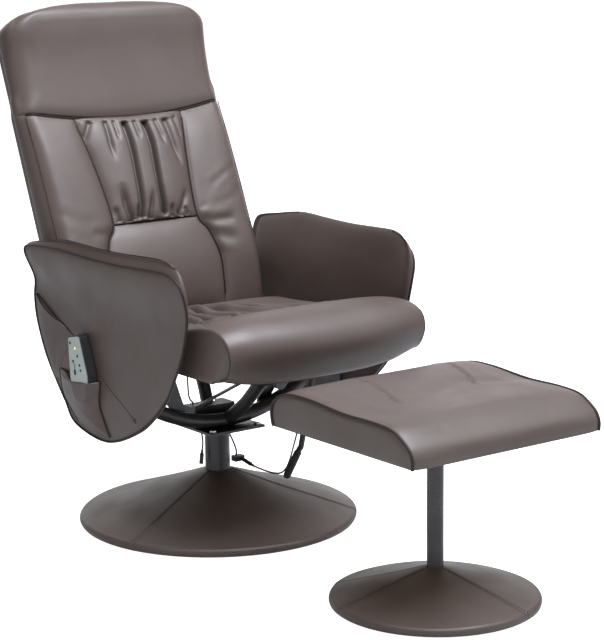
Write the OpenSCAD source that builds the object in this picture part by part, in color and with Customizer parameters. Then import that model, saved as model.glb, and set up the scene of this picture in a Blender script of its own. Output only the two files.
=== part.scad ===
// Swivel recliner with massage motors and a separate footstool, both on round wrapped bases.
// The chair faces -Y, Z is up, and the origin is on the floor under the chair's column.

/* [Chair base] */
// Radius of the round base
base_r = 280; // [240:1:320]
// Height of the base's rolled rim
base_rim_h = 20; // [14:1:30]
// Height of the wrapped cone where it meets the column
base_top_z = 103; // [80:1:120]
// Height of the rubber ring under each base
foot_h = 3.5; // [3:0.25:4]
// Width of the rubber ring under each base
foot_w = 14; // [10:1:20]
// Thickness of the flat floor plates
plate_t = 4; // [3:0.5:6]
// Thickness of the pressed steel cones
cone_t = 2; // [1.5:0.5:3]
// Thickness of the wrapped covers with their padding
cover_t = 4; // [2:0.5:6]
// Radius of the steel column
column_r = 25; // [20:0.5:30]
// Wall of the column and of the footstool's post
tube_wall = 2.5; // [2:0.5:4]
// Height of the column's top end
column_top_z = 190; // [170:1:200]

/* [Underframe] */
// Radius of the bent frame tubes
frame_tube_r = 14; // [11:0.5:16]
// Radius of the curve in the arm crossbar
crossbar_bend_r = 345; // [320:1:420]
// Distance of the crossbar in front of the column
crossbar_y = 36; // [30:1:44]
// Thickness of the frame's steel plates
bracket_t = 5; // [4:0.5:6]
// Width of the swivel plate
swivel_plate_w = 130; // [100:1:160]
// Depth of the swivel plate
swivel_plate_d = 150; // [130:1:180]
// Distance between the two slide rails
rail_gap = 180; // [150:1:196]
// Width of one slide rail
rail_w = 26; // [22:1:30]
// Height of one slide rail
rail_h = 10; // [9:0.5:14]
// Top height of the slide rails
rail_top_z = 357; // [350:1:360]
// Front end of the rails
rail_front_y = -250; // [-290:1:-235]
// Rear end of the rails
rail_rear_y = 110; // [80:1:115]

/* [Seat] */
// Width of the seat cushion
seat_w = 458; // [420:1:480]
// Front edge of the seat's roll
seat_front_y = -404; // [-410:1:-380]
// Rear edge of the seat cushion
seat_rear_y = 126; // [100:1:128]
// Height of the seat cushion's flat underside
seat_bottom_z = 378; // [376:0.5:384]
// Height of the seat's top at the front roll
seat_top_front = 478; // [465:1:490]
// Height of the lower edge of the front roll
seat_lip_z = 358; // [352:1:366]
// Thickness of the plywood boards
board_t = 12; // [9:0.5:13]

/* [Backrest] */
// Lean of the backrest from upright, in degrees
back_tilt = 22; // [16:1:26]
// Length of the backrest from its lower edge line to its top
back_len = 652; // [560:1:680]
// Width of the backrest below the head cushion
back_w = 484; // [430:1:490]
// Width of the head cushion
head_w = 476; // [450:1:500]
// Thickness of the front foam pads
foam_t = 54; // [45:1:65]
// Thickness of the rear pad
rear_pad_t = 24; // [18:1:36]
// Length where the head seam meets the sides
head_seam_s = 429; // [400:1:450]
// Length of the seam between the gathered panel and the lumbar pad
lumbar_seam_s = 177; // [150:1:200]
// Radius of one vibration motor
motor_r = 24; // [18:1:28]

/* [Arms] */
// Thickness of an arm's edge between its two pipings
arm_t = 14; // [12:0.5:24]
// Gap between the seat's side and an arm's inner face
arm_seat_gap = 19.5; // [17:0.5:30]
// Smallest gap between the backrest's side and an arm's inner face
arm_back_gap = 6.5; // [4:0.5:15]
// Length of an arm from front to rear
arm_len = 545; // [500:1:560]
// Height of an arm from its lower tip to its outer piping
arm_h = 360; // [340:1:380]
// Height of the arm's lower tip
arm_low_z = 205; // [200:1:215]
// Outward flare of the arm's top edge at the rear
arm_flare = 29; // [10:1:34]
// Height of the inner piping over the outer one
arm_crest = 26; // [14:1:34]
// Distance that the outer front edge stands before the inner one
arm_nose = 13; // [5:1:30]

/* [Handset] */
// Width of the handset
handset_w = 68; // [60:1:70]
// Length of the handset
handset_len = 130; // [120:1:136]
// Thickness of the handset
handset_t = 20; // [16:1:24]
// Lean of the handset in its pocket, in degrees
handset_lean = 12; // [6:1:14]

/* [Footstool] */
// Distance from the chair's column to the footstool's post
stool_y = -676; // [-760:1:-672]
// Radius of the footstool's base
stool_base_r = 189; // [160:1:200]
// Height of the footstool's cone at the post
stool_cone_z = 68; // [55:1:80]
// Radius of the footstool's post
stool_post_r = 15; // [12:0.5:18]
// Top height of the footstool's post
stool_post_z = 313.8; // [280:0.2:316]
// Width of the footstool's cushion
stool_w = 420; // [380:1:450]
// Depth of the footstool's cushion
stool_d = 396; // [360:1:400]
// Height of the footstool cushion's underside
stool_bottom_z = 319; // [316:1:330]
// Thickness of the footstool's cushion at its rear hump
stool_cushion_h = 76; // [60:1:84]

/* [Leads] */
// Radius of the thin low-voltage leads
lead_r = 1.75; // [1.5:0.25:2]

/* [Hidden] */

leather = [0.33, 0.28, 0.26];
black_steel = [0.08, 0.08, 0.09];
column_grey = [0.20, 0.19, 0.21];
ply = [0.72, 0.58, 0.40];
plastic = [0.12, 0.12, 0.13];
$fn = 64;

over = 1;              // overrun of every cut
seat_gap = 0.3;        // rest gap between a soft piece and what carries it
run_gap = 0.05;        // radial running clearance of a pin or a bush
button_gap = 0.25;     // clearance round a button
slide_gap = 0.2;       // clearance between a slider and its rail

// curves and closed lofts
function smooth(t) = let (c = min(1, max(0, t))) c * c * (3 - 2 * c);
function mix(a, b, t) = a + (b - a) * t;
function spline(a, b, c, d, t) = 0.5 * (2 * b + (c - a) * t + (2 * a - 5 * b + 4 * c - d) * t * t
  + (3 * b - a - 3 * c + d) * t * t * t);
function closed_curve(p, n) = let (m = len(p))
  [for (i = [0:m - 1], j = [0:n - 1])
    spline(p[(i + m - 1) % m], p[i], p[(i + 1) % m], p[(i + 2) % m], j / n)];
function open_curve(p, n) = let (m = len(p))
  concat([for (i = [0:m - 2], j = [0:n - 1])
    spline(p[max(0, i - 1)], p[i], p[i + 1], p[min(m - 1, i + 2)], j / n)], [p[m - 1]]);
function at(p, t) = let (m = len(p) - 1, i = min(m - 1, floor(t * m)), f = t * m - i)
  spline(p[max(0, i - 1)], p[i], p[i + 1], p[min(m, i + 2)], f);
function middle(r) = [for (k = [0:2]) [for (p = r) p[k]] * [for (p = r) 1] / len(r)];
function unit(v) = v / norm(v);

module loft(rings) {
  n = len(rings[0]);
  m = len(rings);
  points = concat([for (r = rings) each r], [middle(rings[0]), middle(rings[m - 1])]);
  walls = [for (i = [0:m - 2], j = [0:n - 1]) let (k = (j + 1) % n)
    each [[i * n + j, (i + 1) * n + k, i * n + k], [i * n + j, (i + 1) * n + j, (i + 1) * n + k]]];
  start_cap = [for (j = [0:n - 1]) [m * n, j, (j + 1) % n]];
  end_cap = [for (j = [0:n - 1]) [m * n + 1, (m - 1) * n + (j + 1) % n, (m - 1) * n + j]];
  polyhedron(points, concat(walls, start_cap, end_cap));
}

// a round lead or bar swept along its own points
lead_sides = 8;
bar_sides = 20;
function sweep_ring(p, i, r, sides) = let (m = len(p) - 1, t = unit(p[min(m, i + 1)] - p[max(0, i - 1)]),
  a = unit(cross(t, [0.9, 0.3, 0.1])), b = cross(t, a))
  [for (k = [0:sides - 1]) p[i] + r * (cos(360 * k / sides) * a + sin(360 * k / sides) * b)];
module sweep(points, steps, r, sides) {
  p = open_curve(points, steps);
  loft([for (i = [0:len(p) - 1]) sweep_ring(p, i, r, sides)]);
}
module lead(points) sweep(points, lead_steps, lead_r, lead_sides);

module aimed(a, b) {
  d = b - a;
  translate(a) rotate([0, acos(d[2] / norm(d)), atan2(d[1], d[0])]) children();
}
module along(a, b, r) aimed(a, b) cylinder(r = r, h = norm(b - a));
module block(low, high) translate(low) cube(high - low);
module both_sides() {
  children();
  mirror([1, 0, 0]) children();
}

// wrapped round base, shared by the chair and the footstool
plate_inset = 14;
cone_inset = 8;
cover_lip_z = 1;
cover_clear = 0.3;
foot_inset = 24;
module foot_ring(radius) difference() {
  cylinder(r = radius - foot_inset, h = foot_h);
  translate([0, 0, -over]) cylinder(r = radius - foot_inset - foot_w, h = foot_h + 2 * over);
}
module floor_plate(radius, hole_r) {
  translate([0, 0, foot_h]) difference() {
    cylinder(r = radius - plate_inset, h = plate_t);
    translate([0, 0, -over]) cylinder(r = hole_r, h = plate_t + 2 * over);
  }
}
cone_share = [[0, 1], [0.1, 0.9], [0.35, 0.64], [0.7, 0.3], [0.93, 0.07], [1, 0]];
function cone_line(r_in, r_out, z_in, z_out) =
  [for (p = cone_share) [mix(r_in, r_out, p[0]), mix(z_out, z_in, p[1])]];
module cone_shell(r_in, r_out, z_in, z_out, t) {
  top = cone_line(r_in, r_out, z_in, z_out);
  low = [for (i = [len(top) - 1:-1:0]) top[i] - [0, t]];
  rotate_extrude() polygon(concat(top, low));
}

// chair base
spindle_r = 14;
bush_wall = 3;
bush_flange_t = 2;
weld_r = column_r + 14;
cone_top_z = base_top_z - cover_t - cover_clear;
module base_foot_ring() color("black") foot_ring(base_r);
module base_plate() color(black_steel) floor_plate(base_r, column_r - tube_wall);
module base_cone() color(black_steel)
  cone_shell(column_r + cover_clear, base_r - cone_inset, cone_top_z, foot_h + plate_t + cone_t, cone_t);
module base_cover() color(leather) wrap(column_r + cover_clear, base_r, base_top_z, base_rim_h);
module wrap(r_in, r_out, z_in, rim_h) {
  rim_r = rim_h / 2 - cover_lip_z;
  rim_x = r_out - rim_r;
  rim_z = cover_lip_z + rim_r;
  union() {
    cone_shell(r_in, rim_x, z_in, rim_h - cover_lip_z, cover_t);
    rotate_extrude() difference() {
      translate([rim_x, rim_z]) circle(r = rim_r);
      translate([rim_x, rim_z]) circle(r = rim_r - cover_t);
      translate([rim_x - 2 * rim_r, rim_z - 2 * rim_r]) square([2 * rim_r, 4 * rim_r - cover_t]);
    }
    rotate_extrude() translate([rim_x - plate_inset, cover_lip_z])
      square([plate_inset, foot_h - seat_gap - cover_lip_z]);
  }
}
module column() color(column_grey) translate([0, 0, foot_h + plate_t]) difference() {
  cylinder(r = column_r, h = column_top_z - foot_h - plate_t);
  translate([0, 0, -over]) cylinder(r = column_r - tube_wall, h = column_top_z);
}
bush_len = 60;
module column_bush() color("ivory") difference() {
  union() {
    translate([0, 0, column_top_z - bush_len]) cylinder(r = column_r - tube_wall, h = bush_len);
    translate([0, 0, column_top_z]) cylinder(r = column_r, h = bush_flange_t);
  }
  translate([0, 0, column_top_z - bush_len - over])
    cylinder(r = spindle_r + run_gap, h = bush_len + bush_flange_t + 2 * over);
}

// swivelling underframe
plate_low_z = column_top_z + bush_flange_t + slide_gap;
plate_top_z = plate_low_z + bracket_t;
crossbar_z = plate_top_z + frame_tube_r;
arm_inner_x = max(seat_w / 2 + arm_seat_gap, back_w / 2 + arm_back_gap);
crossbar_end_x = arm_inner_x - seat_gap - bracket_t;
spindle_len = bush_len + 20;
module swivel_spindle() color("silver") translate([0, 0, plate_low_z - spindle_len])
  cylinder(r = spindle_r, h = spindle_len);
module swivel_plate() color(black_steel)
  block([-swivel_plate_w / 2, -swivel_plate_d / 2, plate_low_z],
    [swivel_plate_w / 2, swivel_plate_d / 2, plate_top_z]);
crossbar_sweep = 2 * asin(crossbar_end_x / crossbar_bend_r) + 8;
module arm_crossbar() color(black_steel) intersection() {
  translate([0, -crossbar_y, crossbar_z + crossbar_bend_r]) rotate([90, 0, 0])
    rotate(-90 - crossbar_sweep / 2) rotate_extrude(angle = crossbar_sweep, $fn = 128)
    translate([crossbar_bend_r, 0]) circle(r = frame_tube_r);
  block([-crossbar_end_x, -crossbar_y - 2 * frame_tube_r, 0],
    [crossbar_end_x, -crossbar_y + 2 * frame_tube_r, crossbar_z + crossbar_bend_r]);
}
tie_r = 8;
rail_low_z = rail_top_z - rail_h;
tie_z = rail_low_z - tie_r;
tie_front_y = rail_front_y + 36;
tie_rear_y = rail_rear_y - 20;
spar_r = frame_tube_r - 1;
spar_drop = tie_r + spar_r + seat_gap;
spar_steps = 3;
spar_sag = 4;
front_spar_run = 66;
front_spar_rise = 46;
front_bend_share = 0.72;
front_spar_path = [[0, -crossbar_y, crossbar_z],
  [0, -crossbar_y - front_spar_run, crossbar_z + front_spar_rise],
  [0, mix(-crossbar_y, tie_front_y, front_bend_share), tie_z - spar_drop - spar_sag],
  [0, tie_front_y - tie_r, tie_z - spar_drop]];
module tie_room() for (y = [tie_front_y, tie_middle_y, tie_rear_y])
  translate([-2 * spar_r, y, tie_z]) rotate([0, 90, 0]) cylinder(r = tie_r + seat_gap, h = 4 * spar_r);
module front_spar() difference() {
  sweep(front_spar_path, spar_steps, spar_r, bar_sides);
  translate([-2 * frame_tube_r, -crossbar_y, crossbar_z]) rotate([0, 90, 0])
    cylinder(r = frame_tube_r + seat_gap, h = 4 * frame_tube_r);
  block([-2 * frame_tube_r, -crossbar_y, 0], [2 * frame_tube_r, frame_tube_r, 2 * crossbar_z]);
  tie_room();
}
rear_spar_foot_y = 34;
rear_spar_rise = 24;
rear_bend_share = 0.6;
rear_spar_path = [[0, rear_spar_foot_y, plate_top_z - frame_tube_r],
  [0, rear_spar_foot_y, crossbar_z + rear_spar_rise],
  [0, mix(rear_spar_foot_y, tie_rear_y, rear_bend_share), tie_z - spar_drop - 1.5 * spar_sag],
  [0, tie_rear_y + tie_r, tie_z - spar_drop]];
module rear_spar() difference() {
  sweep(rear_spar_path, spar_steps, spar_r, bar_sides);
  block([-2 * frame_tube_r, 0, 0], [2 * frame_tube_r, 4 * rear_spar_foot_y, plate_top_z]);
  tie_room();
}
module seat_spars() color(black_steel) {
  front_spar();
  rear_spar();
}
strut_y = -crossbar_y + frame_tube_r + bracket_t / 2;
tie_middle_y = strut_y + bracket_t / 2 + tie_r;
tie_middle_half = 165;
module tie(y, half) translate([-half, y, tie_z]) rotate([0, 90, 0]) cylinder(r = tie_r, h = 2 * half);
module rail_ties() color(black_steel) {
  tie(tie_front_y, (rail_gap + rail_w) / 2);
  tie(tie_middle_y, tie_middle_half);
  tie(tie_rear_y, (rail_gap + rail_w) / 2);
  rail_struts();
}
groove_w = rail_w / 2;
groove_d = rail_h / 2;
module slide_rails() color(black_steel) both_sides() difference() {
  block([(rail_gap - rail_w) / 2, rail_front_y, rail_low_z],
    [(rail_gap + rail_w) / 2, rail_rear_y, rail_top_z]);
  block([(rail_gap - groove_w) / 2, rail_front_y - over, rail_top_z - groove_d],
    [(rail_gap + groove_w) / 2, rail_rear_y + over, rail_top_z + over]);
}
strut_w = 26;
strut_low_x = 92;
function bar_z(x) = crossbar_z + crossbar_bend_r - sqrt(crossbar_bend_r * crossbar_bend_r - x * x);
module rail_struts() both_sides() translate([0, strut_y + bracket_t / 2, 0]) rotate([90, 0, 0])
  linear_extrude(bracket_t) polygon([[strut_low_x - strut_w / 2, bar_z(strut_low_x) - frame_tube_r],
    [strut_low_x + strut_w / 2, bar_z(strut_low_x) - frame_tube_r / 2], [tie_middle_half, tie_z - strut_w],
    [tie_middle_half, tie_z + tie_r], [tie_middle_half - 1.5 * strut_w, tie_z + tie_r]]);
arm_bracket_w = 110;
arm_bracket_h = 76;
arm_bolt_r = 4;
bolt_head_h = 4;
bolt_head_share = 1.7;
plate_bolt_in = 3 * arm_bolt_r;
arm_bolt_share = 0.38;
arm_bolt_places = [for (i = [-1, 1])
  [-crossbar_y + i * arm_bracket_w * arm_bolt_share, bar_z(crossbar_end_x) - arm_bracket_h / 5]];
arm_bracket_share = 0.7;  // share of the arm bracket that is below the crossbar's end
module arm_brackets() color(black_steel) both_sides() difference() {
  block([crossbar_end_x, -crossbar_y - arm_bracket_w / 2,
    bar_z(crossbar_end_x) - arm_bracket_h * arm_bracket_share],
    [crossbar_end_x + bracket_t, -crossbar_y + arm_bracket_w / 2,
    bar_z(crossbar_end_x) + arm_bracket_h * (1 - arm_bracket_share)]);
  for (p = arm_bolt_places) translate([crossbar_end_x - over, p[0], p[1]]) rotate([0, 90, 0])
    cylinder(r = arm_bolt_r, h = bracket_t + 2 * over);
}
module bolt_head(r, h) {
  cylinder(r = bolt_head_share * r, h = h, $fn = 6);
}
module frame_bolts() color("gray") {
  both_sides() for (p = arm_bolt_places)
    translate([crossbar_end_x + bracket_t, p[0], p[1]]) rotate([0, -90, 0]) {
      cylinder(r = arm_bolt_r, h = bracket_t);
      translate([0, 0, bracket_t]) bolt_head(arm_bolt_r, bolt_head_h);
    }
  both_sides() for (y = [-1, 1])
    translate([swivel_plate_w / 2 - plate_bolt_in, y * (swivel_plate_d / 2 - plate_bolt_in), plate_top_z])
    bolt_head(arm_bolt_r, bolt_head_h);
}
box_w = 96;
box_d = 44;
box_low_y = -crossbar_y + frame_tube_r + 2 * bracket_t;
box_h = 40;
box_x = -12;
box_notch_gap = 4;
module control_box() color(plastic) difference() {
  block([box_x - box_w / 2, box_low_y, plate_top_z],
    [box_x + box_w / 2, box_low_y + box_d, plate_top_z + box_h]);
  translate([0, rear_spar_foot_y, 0]) cylinder(r = spar_r + box_notch_gap, h = crossbar_z * 2);
}
brace_t = 5;
brace_w = 12;
brace_z = plate_top_z + box_h;
lever_r = 6;
lever_x = 148;
lever_y = -130;
ear_w = 24;
lever_z = rail_low_z - bracket_t - ear_w;
lever_pivot = [lever_x, lever_y, lever_z];
ear_gap = 2 * lever_r + 2 * slide_gap;
ear_out = (ear_gap + bracket_t) / 2;
module on_lever_axis(y) translate([lever_x, y, lever_z]) rotate([90, 0, 0]) children();
module brace_bar() {
  start = [box_x - box_w / 2, box_low_y + brace_w / 2, brace_z + brace_t / 2];
  end = [rail_gap / 2, lever_y + ear_out + (bracket_t + brace_w) / 2, rail_low_z - bracket_t - brace_t / 2];
  d = end - start;
  block([start[0], box_low_y, brace_z], [start[0] + 2 * brace_w, box_low_y + brace_w, brace_z + brace_t]);
  translate(start + [brace_w, 0, 0]) rotate([0, acos(d[2] / norm(d)), atan2(d[1], d[0])])
    translate([-brace_t / 2, -brace_w / 2, 0]) cube([brace_t, brace_w, norm(d)]);
}
module lever_bracket() color(black_steel) {
  brace_bar();
  block([(rail_gap - rail_w) / 2, lever_y - ear_w, rail_low_z - bracket_t],
    [lever_x + ear_w / 2, lever_y + ear_w, rail_low_z]);
  for (i = [-1, 1]) difference() {
    union() {
      block([lever_x - ear_w / 2, lever_y + i * ear_out - bracket_t / 2, lever_z],
        [lever_x + ear_w / 2, lever_y + i * ear_out + bracket_t / 2, rail_low_z - bracket_t]);
      on_lever_axis(lever_y + i * ear_out + bracket_t / 2) cylinder(r = ear_w / 2, h = bracket_t);
    }
    on_lever_axis(lever_y + ear_gap + bracket_t) cylinder(r = lever_pin_r, h = 2 * (ear_gap + bracket_t));
  }
}
lever_pin_r = 4;
module lever_pin() color("silver") on_lever_axis(lever_y + ear_gap / 2 + bracket_t)
  cylinder(r = lever_pin_r, h = ear_gap + 2 * bracket_t);

// recline lever: a bent bar that hangs from its pin, with a soft grip on its end
hub_r = 10;
grip_r = 7.5;
lever_drop = 216;
lever_in = 70;
knee_drop = 160;
knee_in = 34;
lever_knee = lever_pivot - [knee_in, 0, knee_drop];
lever_tip = lever_pivot - [lever_in, 0, lever_drop];
grip_len = 52;
grip_way = unit(lever_tip - lever_knee);
grip_start = lever_tip - grip_len * grip_way;
lever_steps = 3;
lever_path = [lever_pivot, mix(lever_pivot, lever_knee, 0.5), lever_knee,
  grip_start - grip_r * grip_way, grip_start - seat_gap * grip_way];
module recline_lever() color(black_steel) difference() {
  union() {
    sweep(lever_path, lever_steps, lever_r, bar_sides);
    on_lever_axis(lever_y + ear_gap / 2 - slide_gap) cylinder(r = hub_r, h = 2 * lever_r);
  }
  on_lever_axis(lever_y + ear_gap) cylinder(r = lever_pin_r + run_gap, h = 2 * ear_gap);
}
module lever_grip() color([0.25, 0.25, 0.26]) aimed(grip_start, lever_tip) rotate_extrude()
  polygon(concat([[0, 0], [grip_r, 0]],
    [for (a = [0:30:90]) [grip_r * cos(a), grip_len + grip_r * sin(a)]]));

// arms: padded shields whose outer outline stands lower and further forward than the inner one
arm_front_y = -285;
// each point is a share of the arm's length from its front and of its height from its tip
arm_outline_share = [[0.985, 0.94], [0.931, 0.985], [0.732, 1], [0.543, 0.99], [0.359, 0.986],
  [0.18, 0.994], [0.07, 0.995], [0.01, 0.965], [-0.016, 0.9], [-0.018, 0.81], [-0.006, 0.71],
  [0.024, 0.57], [0.071, 0.444], [0.127, 0.318], [0.226, 0.186], [0.319, 0.097], [0.471, 0.004],
  [0.594, -0.008], [0.737, 0.04], [0.794, 0.137], [0.851, 0.232], [0.918, 0.36], [0.963, 0.491],
  [0.987, 0.599], [0.992, 0.706], [0.975, 0.802]];
arm_steps = 2;
function arm_outline() = closed_curve(arm_outline_share, arm_steps);
arm_flare_z = 0.72;     // share of the height where the flare starts
arm_flare_top = 1.04;
arm_front_flare = 0.5;  // share of the flare that the front edge has
function arm_lean(u, v) = arm_flare * smooth((v - arm_flare_z) / (arm_flare_top - arm_flare_z))
  * mix(arm_front_flare, 1, smooth(u * 1.5));
function arm_out(u, v) = arm_inner_x + arm_t + arm_lean(u, v);
function arm_in(u, v) = arm_inner_x + arm_lean(u, v);
arm_rear_crest = 10;    // how far the inner piping stands over the outer one at the rear corner
arm_tuck = 14;          // how far the inner outline's rear edge stays in front of the outer one
function arm_inset(u, v, k) =
  let (front = 1 - smooth(u * 2.2), rear = smooth((u - 0.6) * 2.6), top = smooth((v - 0.55) * 2.2))
  [arm_front_y + u * arm_len + k * (arm_nose * front * smooth(v * 2) - arm_tuck * rear * smooth(v * 2)),
   arm_low_z + v * arm_h + k * mix(arm_crest, arm_rear_crest, rear) * top];
arm_center_share = [0.52, 0.55];
function toward(q, k) = mix(arm_center_share, q, k);
arm_crown = 9;          // how far the outer face swells in its middle
function face_ring(k, side, inner) = [for (q = arm_outline())
  let (c = toward(q, k), u = c[0], v = c[1], w = arm_inset(u, v, inner),
    swell = arm_crown * (1 - pow(k, 3)) * smooth((v - 0.6) * 3))
  [side * (inner > 0.5 ? arm_in(u, v) : arm_out(u, v) + swell), w[0], w[1]]];
boxing_bulge = 3;
function boxing_ring(side) = [for (q = arm_outline())
  let (c = toward(q, 1 + 2 * boxing_bulge / arm_h), w = arm_inset(c[0], c[1], 0.5))
  [side * (arm_in(q[0], q[1]) + arm_out(q[0], q[1])) / 2, w[0], w[1]]];
outer_ring_share = [0.35, 0.6, 0.82, 1];
inner_ring_share = [1, 0.8, 0.45];
module arm(side) {
  rings = concat([for (k = outer_ring_share) face_ring(k, side, 0)], [boxing_ring(side)],
    [for (k = inner_ring_share) face_ring(k, side, 1)]);
  loft(side < 0 ? rings : [for (i = [len(rings) - 1:-1:0]) rings[i]]);
}
module arm_left() color(leather) arm(1);
module arm_right() color(leather) arm(-1);

// pouches on the outer face of the arm at the sitter's right, which holds the handset
pocket_wall = 2;
pocket_x = arm_inner_x + arm_t + seat_gap;
magazine_depth = 9;
function arm_yz(p) = [arm_front_y + p[0] * arm_len, arm_low_z + p[1] * arm_h];
magazine_share = [[0.972, 0.702], [0.713, 0.54], [0.82, 0.4], [0.82, 0.25], [0.848, 0.26],
  [0.905, 0.37], [0.95, 0.5], [0.973, 0.62]];
module magazine_outline(inset) offset(delta = -inset) polygon([for (p = magazine_share) arm_yz(p)]);
module side_extrude(x, t) translate([-x - t, 0, 0]) rotate([90, 0, 90]) linear_extrude(t) children();
pocket_hem = 6;         // width of the pouch's seam allowance on the arm
mouth_line = arm_yz(magazine_share[0]) - arm_yz(magazine_share[1]);
mouth_start_share = 0.36;
mouth_low = arm_yz(magazine_share[1]) + mouth_start_share * mouth_line;
mouth_len = norm(mouth_line) / 2;
module magazine_pocket() color(leather) difference() {
  side_extrude(pocket_x, magazine_depth) magazine_outline(0);
  side_extrude(pocket_x - over, magazine_depth - pocket_wall + over) union() {
    magazine_outline(pocket_hem);
    translate(mouth_low) rotate(atan2(mouth_line[1], mouth_line[0])) translate([0, -pocket_hem - over])
      square([mouth_len, 2 * pocket_hem + over]);
  }
}

handset_place_share = [0.6275, 0.3694];
handset_y = arm_yz(handset_place_share)[0];
handset_z = arm_yz(handset_place_share)[1];
handset_clear = 0.8;
handset_x = pocket_x + pocket_wall + handset_clear;
pouch_share = [[0.546, 0.319], [0.807, 0.335], [0.772, 0.17], [0.7, 0.07], [0.593, 0.022],
  [0.497, 0.05], [0.536, 0.174]];
pouch_depth = handset_t + 2 * pocket_wall + 2 * handset_clear;
pouch_edge = 12;
module pouch_outline(inset) offset(delta = -inset) polygon([for (p = pouch_share) arm_yz(p)]);
module handset_frame() translate([-handset_x, handset_y, handset_z])
  rotate([-handset_lean, 0, 0]) children();
handset_low_r = 0.35 * handset_w;
handset_top_r = 0.14 * handset_w;
handset_top_in = 0.2 * handset_w;
module handset_outline(grow) hull() {
  translate([0, handset_low_r - handset_len / 2]) circle(r = handset_low_r + grow, $fn = 32);
  translate([0, -handset_len / 8]) circle(r = handset_w / 2 + grow, $fn = 32);
  for (i = [-1, 1]) translate([i * handset_top_in, handset_len / 2 - handset_top_r])
    circle(r = handset_top_r + grow, $fn = 32);
}
module outward(start, t) translate([-start - t, 0, 0]) rotate([90, 0, 90]) linear_extrude(t) children();
module handset_pocket() color(leather) difference() {
  hull() {
    side_extrude(pocket_x, pocket_wall) pouch_outline(0);
    side_extrude(pocket_x + pouch_depth - pocket_wall, pocket_wall) pouch_outline(pouch_edge);
  }
  handset_frame() hull() for (i = [0, 1]) translate([0, 0, i * handset_len])
    outward(-handset_clear, handset_t + 2 * handset_clear) handset_outline(handset_clear);
}

// handset with its printed face, five round buttons and one slider
face_t = 1.6;
face_inset = 5;
button_r = 2.4;
button_h = 2.4;
button_proud = 1;
button_travel = 0.6;
// places are shares of the handset's width across and of its length up
button_share = [[0.22, 0.40], [-0.10, 0.19], [0.18, 0.12], [-0.15, 0.05], [-0.17, -0.03]];
slider_share = [0.15, 0];
slider_slot_len = 22;
slider_slot_w = 3;
slider_travel = 12;
module handset_cuts(start, depth, grow) {
  for (p = button_share) outward(start, depth) translate([p[0] * handset_w, p[1] * handset_len])
    circle(r = button_r + grow);
  outward(start, depth) translate([slider_share[0] * handset_w, slider_share[1] * handset_len])
    square([slider_slot_w + 2 * grow, slider_slot_len + 2 * grow], center = true);
}
button_seat_z = handset_t - face_t - button_h;
module handset_body() color(plastic) handset_frame() difference() {
  outward(0, handset_t - face_t) handset_outline(0);
  handset_cuts(button_seat_z, button_h + over, button_gap);
}
module handset_face() color([0.55, 0.60, 0.55]) handset_frame() difference() {
  outward(handset_t - face_t, face_t) handset_outline(-face_inset / 2);
  handset_cuts(handset_t - face_t - over, face_t + 2 * over, button_gap);
}
button_low = button_seat_z + button_travel + button_gap / 2;
module button(i) color("black") handset_frame()
  outward(button_low, handset_t + button_proud + button_gap / 2 - button_low)
  translate([button_share[i][0] * handset_w, button_share[i][1] * handset_len]) circle(r = button_r);
module button_1() button(0);
module button_2() button(1);
module button_3() button(2);
module button_4() button(3);
module button_5() button(4);
slider_len = slider_slot_len - slider_travel;
module intensity_slider() color("black") handset_frame()
  outward(button_seat_z + button_gap, handset_t + 2 * button_proud - button_seat_z)
  translate([slider_share[0] * handset_w, slider_share[1] * handset_len - slider_travel / 2])
  square([slider_slot_w, slider_len], center = true);

// leads: their points are chosen by hand along the way each one hangs
lead_steps = 2;
seat_lead_points = [[-90, -32, 346.8], [-90, -32, 334], [-89, -30, 318], [-85, -25, 301], [-79, -17, 283],
  [-72, -8, 266], [-63, 1, 254], [-54, 8, 247], [-50, 10, 243], [-50, 10, 240], [-50, 10, 237.5]];
power_lead_points = [[-38, 0, 192], [-38, 0, 184], [-36, 0, 172], [-35, 0, 160], [-36, 0, 152],
  [-37, 0, 146]];
motor_lead_points = [[34, 16, 192], [34, 16, 184], [37, 13, 170], [42, 9, 155], [46, 5, 141],
  [48, 3, 131], [48, 3, 121]];
link_lead_points = [[58, -44, 106], [59, -52, 105], [62, -66, 103], [66, -82, 101], [72, -97, 100],
  [80, -108, 102], [89, -113, 112], [98, -114, 130], [108, -114, 158], [119, -114, 190],
  [131, -114, 225], [143, -114, 262], [151, -114, 292], [153, -112, 315], [153, -112, 341.8]];
module seat_lead() color("black") lead(seat_lead_points);
module power_lead() color("black") lead(power_lead_points);
module motor_lead() color("black") lead(motor_lead_points);
module link_lead() color("black") lead(link_lead_points);
plug_r = 4;
plug_len = 28;
plug_neck_r = 2.6;
plug_neck = 7;
socket_way = [-1, 0, -9];
module barrel_plug(start, direction) {
  d = unit(direction);
  along(start, start + d * plug_neck, plug_neck_r);
  along(start + d * plug_neck, start + d * plug_len, plug_r);
}
module power_socket() color("black")
  barrel_plug(power_lead_points[len(power_lead_points) - 1], socket_way);
splitter_size = [22, 16, 11];
splitter_low = [39, -8, 109.7];
module lead_splitter() color("black") {
  block(splitter_low, splitter_low + splitter_size);
  translate(motor_lead_points[len(motor_lead_points) - 1] - [0, 0, splitter_size[2] / 10])
    cylinder(r = plug_neck_r, h = splitter_size[2] / 10);
}
splitter_mouth_share = [0.7, 0, 0.4];
module link_plug() color("black") {
  start = link_lead_points[0] + [0, seat_gap, 0];
  mouth = [for (k = [0:2]) splitter_low[k] + splitter_size[k] * splitter_mouth_share[k]];
  end = mouth - [0, 3 * seat_gap, 0];
  d = end - start;
  along(start, start + d / 4, plug_neck_r);
  along(start + d / 4, end - d / 8, plug_r);
  along(end - d / 8, end, plug_neck_r);
}

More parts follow.
